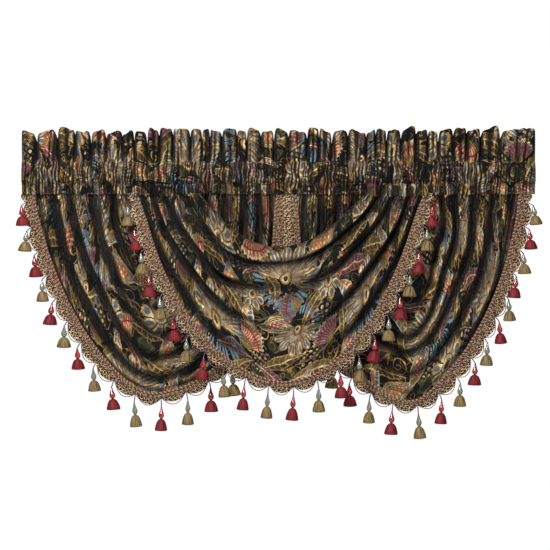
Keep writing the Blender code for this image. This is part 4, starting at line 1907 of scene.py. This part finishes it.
class Tassels:
    """The bead tassels, modelled once in each colour and copied."""

    BEAD_SIDES = 14
    SKIRT_SIDES = 40
    RIB_SHARE = 0.10
    # Extruding leaves the faces in an order that changes from run to run, so they are put in
    # order of their distance from this point.
    ORDER_FROM = (0.031, 0.017, 0.009)
    BEAD_PROFILE = (
        (0.0012, 0.0), (0.0021, -0.0050), (0.0034, -0.0110), (0.0052, -0.0165), (0.0063, -0.0205),
        (0.0061, -0.0245), (0.0043, -0.0285), (0.0016, -0.0310),
    )
    SKIRT_PROFILE = (
        (0.0018, -0.0305), (0.0048, -0.0318), (0.0080, -0.0348), (0.0103, -0.0395),
        (0.0120, -0.0450), (0.0134, -0.0510), (0.0143, -0.0565), (0.0137, -0.0588),
        (0.0085, -0.0600),
    )

    def lathed(
        self, name: str, profile: Sequence[tuple[float, float]], sides: int, ribs: float
    ) -> Object:
        """Model a round body by extruding a disc down its profile.

        Args:
            name: The body's name.
            profile: Its radii and heights, from the top down.
            sides: How many sides it has.
            ribs: How far every other side is pressed in, as a share of the radius.

        Returns:
            The body, with U round it and V down it, each from 0 to 1.
        """
        bpy.ops.object.select_all(action="DESELECT")
        radius, height = profile[0]
        start = (0.0, 0.0, height)
        bpy.ops.mesh.primitive_circle_add(
            vertices=sides, radius=radius, fill_type="NGON", location=start
        )
        made = bpy.context.object
        made.name = name
        bpy.ops.object.transform_apply(location=True, rotation=True, scale=True)
        bpy.ops.object.mode_set(mode="EDIT")
        bpy.ops.mesh.select_all(action="SELECT")
        for next_radius, next_height in profile[1:]:
            drop = next_height - height
            bpy.ops.mesh.extrude_region_move(TRANSFORM_OT_translate={"value": (0.0, 0.0, drop)})
            grow = next_radius / radius
            centre = (0.0, 0.0, next_height)
            bpy.ops.transform.resize(value=(grow, grow, 1.0), center_override=centre)
            radius, height = next_radius, next_height
        bpy.ops.mesh.select_all(action="SELECT")
        bpy.ops.mesh.normals_make_consistent(inside=False)
        bpy.context.scene.cursor.location = self.ORDER_FROM
        bpy.ops.mesh.sort_elements(type="CURSOR_DISTANCE", elements={"VERT", "EDGE", "FACE"})
        bpy.ops.object.mode_set(mode="OBJECT")
        mesh = made.data
        if ribs:
            for vertex in mesh.vertices:
                number = round(math.atan2(vertex.co.y, vertex.co.x) * sides / TAU)
                press = 1 - ribs if number % 2 else 1 + ribs / 3
                vertex.co.x *= press
                vertex.co.y *= press
        bottom, top = profile[-1][1], profile[0][1]
        layer = mesh.uv_layers[0] if mesh.uv_layers else mesh.uv_layers.new(name="UVMap")
        layer.name = "UVMap"
        for face in mesh.polygons:
            turn = math.atan2(face.center.y, face.center.x) / TAU
            for loop in face.loop_indices:
                place = mesh.vertices[mesh.loops[loop].vertex_index].co
                own = math.atan2(place.y, place.x) / TAU
                own = own + round(turn - own)
                layer.uv[loop].vector = (own, (top - place.z) / (top - bottom))
            face.use_smooth = len(face.vertices) == 4
        return made

    def model(self, finishes: Sequence[Material], bead: int, yarn: int) -> bpy.types.Mesh:
        """Model one tassel, with its bead's top at the origin.

        Args:
            finishes: All the materials of the hanging trim.
            bead: The bead's material index.
            yarn: The yarn's material index.

        Returns:
            The tassel's mesh.
        """
        ball = self.lathed("bead", self.BEAD_PROFILE, self.BEAD_SIDES, 0.0)
        skirt = self.lathed("skirt", self.SKIRT_PROFILE, self.SKIRT_SIDES, self.RIB_SHARE)
        for body, index in ((ball, bead), (skirt, yarn)):
            for finish in finishes:
                body.data.materials.append(finish)
            body.data.polygons.foreach_set("material_index", [index] * len(body.data.polygons))
        bpy.ops.object.select_all(action="DESELECT")
        skirt.select_set(True)
        ball.select_set(True)
        bpy.context.view_layer.objects.active = ball
        bpy.ops.object.join()
        mesh = ball.data
        bpy.data.objects.remove(ball)
        return mesh


@dataclass(frozen=True)
class Wave:
    """A cord that waves along the hem: its middle past the cloth's edge, its swing and its wavelength.

    It stands forward of the cloth, and its material has an index.
    """

    middle: float
    swing: float
    period: float
    radius: float
    forward: float
    material: int


@dataclass(frozen=True)
class Trim:
    """The braid, the scalloped lace, the looping cord and the tassels along one hem."""

    cloth: SwagCloth
    end: float = 0.028
    cusp_reach: float = 0.0030
    lobe_side: float = 0.0165
    lobe_bottom: float = 0.0175
    plain_reach: float = 0.0175
    braid: Wave = Wave(-0.0158, swing=0.0022, period=0.0130, radius=0.0017, forward=0.0046, material=0)
    weave: Wave = Wave(-0.0030, swing=0.0080, period=0.0230, radius=0.0012, forward=0.0040, material=1)
    tape_from: float = -0.0185
    tape_to: float = -0.0005
    lace_from: float = -0.004
    band_end: float = 0.004
    tape_forward: float = 0.0030
    lace_forward: float = 0.0014
    root_forward: float = 0.0016
    cord_step: float = 0.0016
    lace_step: float = 0.0013
    picot_length: float = 0.0052
    picot_size: float = 0.0011
    lobe_power: float = 0.62
    standoff: float = 0.014
    loop_out: float = 0.032
    loop_drop: float = 0.014
    loop_radius: float = 0.0010
    thread_radius: float = 0.0007
    shortest_drop: float = 0.004
    added_drop: float = 0.017
    least_size: float = 0.94
    added_size: float = 0.08
    flatness: float = 0.85
    most_lean: float = 0.09
    pinched_share: float = 0.35
    pinched_length: float = 0.10
    level_from: float = 0.62
    level_band: float = 0.56
    turned_under: float = 0.0075
    spread: float = 0.20
    squashed: float = 0.13

    @property
    def shape(self) -> SwagShape:
        """Return the swag's form."""
        return self.cloth.shape

    @property
    def edge(self) -> MeasuredEdge:
        """Return the measured hem."""
        return MeasuredEdge(self.shape.hem)

    def place(self, marks: Array, beyond: Array, forward: Array) -> Array:
        """Work out points beside the hem.

        Args:
            marks: Distances along the hem.
            beyond: How far past the cloth's edge each lies, less than 0 on the cloth.
            forward: How far in front of the cloth.

        Returns:
            The points (x, y, z).
        """
        edge = self.edge
        shares = np.clip(marks / edge.length, 0.0, 1.0)
        at = edge.at(shares)
        flat = at + edge.outward(shares) * np.asarray(beyond)[..., None]
        span = np.linalg.norm(at - MeasuredEdge(self.shape.upper).at(shares), axis=-1)
        places = np.clip(1 + np.asarray(beyond) / np.maximum(span, 0.05), 0.0, 1.0)
        y = self.cloth.depth_at(shares, places) - forward
        return np.stack([flat[..., 0], y, np.minimum(flat[..., 1], SEAM_Z - SEWN_GAP)], axis=-1)

    def outward(self, marks: Array) -> Array:
        """Return the unit directions (x, z) away from the cloth at distances along the hem."""
        return self.edge.outward(np.clip(marks / self.edge.length, 0.0, 1.0))

    def level(self, marks: Array) -> Array:
        """Return how level the hem runs, from 0 on a swag's sides to 1 at its lowest.

        Args:
            marks: Distances along the hem.

        Returns:
            The share at each.
        """
        down = -self.outward(marks)[..., 1]
        return smooth(np.clip((down - self.level_from) / (1 - self.level_from), 0.0, 1.0))

    def cusps(self) -> tuple[Array, float]:
        """Space the lace's cusps along the hem.

        Returns:
            Their distances along it, and the spacing between them.
        """
        length = self.edge.length
        pitch = (length - 2 * self.end) / (self.shape.cusps - 1)
        return self.end + pitch * np.arange(self.shape.cusps), pitch

    def hung(self) -> Array:
        """Return the distances along the hem of the cusps that have a tassel."""
        shape = self.shape
        return self.cusps()[0][shape.bare_left : shape.cusps - shape.bare_right]

    def reach(self, marks: Array) -> Array:
        """Return how far the lace's edge lies beyond the cloth.

        Args:
            marks: Distances along the hem.

        Returns:
            The reach at each.
        """
        cusps, pitch = self.cusps()
        shape, length = self.shape, self.edge.length
        down = np.clip(-self.outward(marks)[..., 1], 0.0, 1.0)
        lobe = self.lobe_side + (self.lobe_bottom - self.lobe_side) * down
        phase = (marks - cusps[0]) / pitch
        bow = np.abs(np.sin(math.pi * phase)) ** self.lobe_power
        reach = self.cusp_reach + (lobe - self.cusp_reach) * bow
        picot = self.picot_size * np.abs(np.sin(math.pi * marks / self.picot_length))
        first, last = shape.bare_left - 0.4, shape.cusps - shape.bare_right - 0.6
        bare = (phase < first) | (phase > last)
        from_end = np.clip(np.minimum(marks, length - marks) / 0.012, 0.0, 1.0) ** 0.5
        return np.where(bare, self.plain_reach, reach * from_end) + picot

    def pinch(self, marks: Array) -> Array:
        """Work out the band's width: narrower where it runs level and where gathers close over its end.

        Args:
            marks: Distances along the hem.

        Returns:
            The width at each as a share.
        """
        shape, length = self.shape, self.edge.length
        share = np.ones_like(marks)
        if shape.name != "left":
            share = np.minimum(share, marks / self.pinched_length)
        if shape.name != "right":
            share = np.minimum(share, (length - marks) / self.pinched_length)
        share = np.clip(share, 0.0, 1.0)
        pinched = self.pinched_share + (1 - self.pinched_share) * share * (2 - share)
        return pinched * (1 - (1 - self.level_band) * self.level(marks))

    def strand(self, wave: Wave, phase: float) -> Chunk:
        """Lay a cord that waves along the hem, a little unevenly.

        Args:
            wave: How it runs.
            phase: Where it starts in its wave.

        Returns:
            The cord's mesh.
        """
        length = self.edge.length
        marks = np.linspace(self.band_end, length - self.band_end, int(length / self.cord_step))
        turn = TAU * marks / wave.period + phase
        turn = turn + 0.7 * np.sin(marks / 0.017) + 0.5 * np.sin(marks / 0.0071)
        beyond = (wave.middle + wave.swing * np.sin(turn)) * self.pinch(marks)
        lift = wave.forward + 0.7 * wave.radius * np.cos(turn)
        return tube_chunk(self.place(marks, beyond, lift), wave.radius, 5, wave.material)

    def tape(self, material: int) -> Chunk:
        """Lay the flat tape beneath the braid's cords.

        Args:
            material: Its material's index.

        Returns:
            The tape's mesh.
        """
        length = self.edge.length
        marks = np.linspace(0.003, length - 0.003, 600)
        across = np.linspace(self.tape_from, self.tape_to, 8)
        m, b = np.meshgrid(marks, across, indexing="ij")
        points = self.place(m, b * self.pinch(m), np.full_like(m, self.tape_forward))
        return grid_chunk(points[:, ::-1], np.stack([m, b], axis=-1)[:, ::-1], material)

    def lace(self, material: int) -> Chunk:
        """Lay the scalloped lace beyond the cloth's edge, turned under where the hem runs level.

        Args:
            material: Its material's index.

        Returns:
            The lace's mesh.
        """
        length = self.edge.length
        marks = np.linspace(self.band_end, length - self.band_end, int(length / self.lace_step))
        share = np.linspace(0.0, 1.0, 7)
        m, s = np.meshgrid(marks, share, indexing="ij")
        reach = self.reach(marks)[:, None]
        beyond = self.lace_from + (reach - self.lace_from) * s
        ripple = 0.0010 * np.sin(TAU * m / self.picot_length) * s + 0.0012 * np.sin(TAU * m / 0.019) * s
        under = self.turned_under * self.level(marks)[:, None] * s * s
        points = self.place(m, beyond, self.lace_forward + ripple - under)
        return grid_chunk(points[:, ::-1], np.stack([m, beyond], axis=-1)[:, ::-1], material)

    def loop_cord(self, material: int) -> list[Chunk]:
        """Hang the thin cord in loops from cusp to cusp.

        Args:
            material: Its material's index.

        Returns:
            The loops' meshes.
        """
        roots = self.roots()
        outward = self.outward(self.hung() + self.cusps()[1] / 2)
        chunks = []
        for first, second, out in zip(roots, roots[1:], outward):
            swing = np.array([out[0] * self.loop_out, -0.002, out[1] * self.loop_out - self.loop_drop])
            path = bowed(first, (first + second) / 2 + swing, second, 15)
            chunks.append(tube_chunk(path, self.loop_radius, 4, material))
        return chunks

    def roots(self) -> Array:
        """Return the points that the tassels hang from."""
        hung = self.hung()
        return self.place(hung, np.full_like(hung, self.cusp_reach), np.full_like(hung, self.root_forward))

    def tassels(self, kinds: Sequence[bpy.types.Mesh], thread: int) -> tuple[list[Object], list[Chunk]]:
        """Copy the tassels to their places and hang each from two threads.

        Args:
            kinds: The red tassel's mesh and the gold one's.
            thread: The threads' material index.

        Returns:
            The copies and the threads.
        """
        shape = self.shape
        choose = random.Random(shape.seed)
        copies, threads = [], []
        for number, (root, out) in enumerate(zip(self.roots(), self.outward(self.hung()))):
            down = max(-float(out[1]), 0.0)
            size = self.least_size + self.added_size * down
            x = float(root[0]) + self.standoff * float(out[0]) + choose.uniform(-0.0015, 0.0015)
            y = float(root[1]) + choose.uniform(-0.001, 0.001)
            z = float(root[2]) - (self.shortest_drop + self.added_drop * down)
            is_red = (number + shape.bare_left) % 2 == (0 if shape.red_first else 1)
            mesh = kinds[0 if is_red else 1].copy()
            forwards = choose.uniform(-self.most_lean, self.most_lean)
            sideways = choose.uniform(-self.most_lean, self.most_lean)
            lean = Euler((forwards, sideways, choose.uniform(0, TAU)))
            lying = 1.0 - down
            wide = size * choose.uniform(0.96, 1.12) * (1 + self.spread * lying)
            tall = size * choose.uniform(0.96, 1.03) * (1 - self.squashed * lying)
            scale = Matrix.Diagonal((wide, wide * self.flatness, tall, 1.0))
            mesh.transform(Matrix.Translation((x, y, z)) @ scale @ lean.to_matrix().to_4x4())
            made = bpy.data.objects.new("tassel", mesh)
            bpy.context.scene.collection.objects.link(made)
            copies.append(made)
            for side in (-1, 1):
                tip = np.array([x + side * 0.0005, y, z - 0.001])
                knee = np.array([(root[0] + x) / 2 + side * 0.0016, y - 0.001, float(root[2]) - 0.001])
                threads.append(tube_chunk(bowed(root, knee, tip, 8), self.thread_radius, 4, thread))
        return copies, threads

    def build(self, finishes: Finishes, kinds: Sequence[bpy.types.Mesh]) -> list[Object]:
        """Make the trim's pieces.

        Args:
            finishes: The materials.
            kinds: The tassels' meshes.

        Returns:
            The pieces.
        """
        name = self.shape.name
        braid_parts = [self.tape(2), self.lace(3)]
        for phase in (0.0, math.pi):
            braid_parts += [self.strand(self.braid, phase), self.strand(self.weave, phase)]
        braid = piece_from(f"trim_braid_{name}", braid_parts, finishes.band)
        copies, threads = self.tassels(kinds, 4)
        hanging = piece_from(f"trim_tassels_{name}", threads + self.loop_cord(4), finishes.hanging)
        bpy.ops.object.select_all(action="DESELECT")
        for copy in copies:
            copy.select_set(True)
        hanging.select_set(True)
        bpy.context.view_layer.objects.active = hanging
        bpy.ops.object.join()
        for piece in (braid, hanging):
            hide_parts(f"trim_{name}")
        return [braid, hanging]


@dataclass(frozen=True)
class Studio:
    """The pale floor and backdrop, soft lights and the camera."""

    middle_x: float = -0.0085
    middle_z: float = -0.240
    view_width: float = 1.335
    distance: float = 5.0
    floor_z: float = -1.35
    sky_strength: float = 0.20

    def build(self) -> None:
        """Make the floor, the backdrop, the lights and the camera."""
        pale = bpy.data.materials.new("pale paper")
        pale.use_nodes = True
        shader = pale.node_tree.nodes["Principled BSDF"]
        set_sockets(shader, {"Base Color": (0.93, 0.93, 0.93, 1.0), "Roughness": 0.9})
        bpy.ops.object.select_all(action="DESELECT")
        bpy.ops.mesh.primitive_plane_add(size=6.0, location=(0, 0, self.floor_z))
        floor = bpy.context.object
        floor.name = "floor"
        floor.data.materials.append(pale)
        self.sky()
        self.light("key", (-1.1, -2.4, 1.5), 1.1, 146.0)
        self.light("fill", (1.7, -2.8, 0.3), 1.6, 34.0)
        lens = bpy.data.cameras.new("camera")
        lens.sensor_width = 36.0
        lens.lens = 36.0 * self.distance / self.view_width
        camera = bpy.data.objects.new("camera", lens)
        camera.location = (self.middle_x, -self.distance, self.middle_z)
        camera.rotation_euler = (math.pi / 2, 0.0, 0.0)
        bpy.context.scene.collection.objects.link(camera)
        bpy.context.scene.camera = camera

    def sky(self) -> None:
        """Make the white backdrop, which gives only part of its brightness as soft light."""
        world = bpy.data.worlds.new("studio")
        world.use_nodes = True
        tree = world.node_tree
        seen = tree.nodes["Background"]
        set_sockets(seen, {"Color": (1.0, 1.0, 1.0, 1.0), "Strength": 1.0})
        soft = tree.nodes.new("ShaderNodeBackground")
        set_sockets(soft, {"Color": (0.97, 0.98, 1.0, 1.0), "Strength": self.sky_strength})
        path = tree.nodes.new("ShaderNodeLightPath")
        mix = tree.nodes.new("ShaderNodeMixShader")
        tree.links.new(path.outputs["Is Camera Ray"], mix.inputs[0])
        tree.links.new(soft.outputs[0], mix.inputs[1])
        tree.links.new(seen.outputs[0], mix.inputs[2])
        tree.links.new(mix.outputs[0], tree.nodes["World Output"].inputs["Surface"])
        bpy.context.scene.world = world
        bpy.context.scene.view_settings.view_transform = "Standard"

    def light(self, name: str, place: tuple[float, float, float], size: float, power: float) -> None:
        """Add a soft square light that faces the valance.

        Args:
            name: The light's name.
            place: Where it stands.
            size: Its side.
            power: Its power in watts.
        """
        lamp = bpy.data.lights.new(name, "AREA")
        lamp.size = size
        lamp.energy = power
        made = bpy.data.objects.new(name, lamp)
        made.location = place
        aim = Vector((self.middle_x, 0.0, self.middle_z)) - Vector(place)
        made.rotation_euler = aim.to_track_quat("-Z", "Y").to_euler()
        bpy.context.scene.collection.objects.link(made)


def main() -> None:
    """Load the frame and dress the valance."""
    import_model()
    Studio().build()
    finishes = Finishes()
    tassels = Tassels()
    kinds = (tassels.model(finishes.hanging, 0, 2), tassels.model(finishes.hanging, 1, 3))
    swags = []
    for shape in (LEFT, RIGHT, CENTRE):
        cloth = SwagCloth(shape)
        swags.append(cloth)
        trims = Trim(cloth).build(finishes, kinds)
        cloth.build((finishes.swag, finishes.swag_reverse), trims)
    Heading(swags).build((finishes.heading, finishes.heading_reverse))


if __name__ == "__main__":
    main()
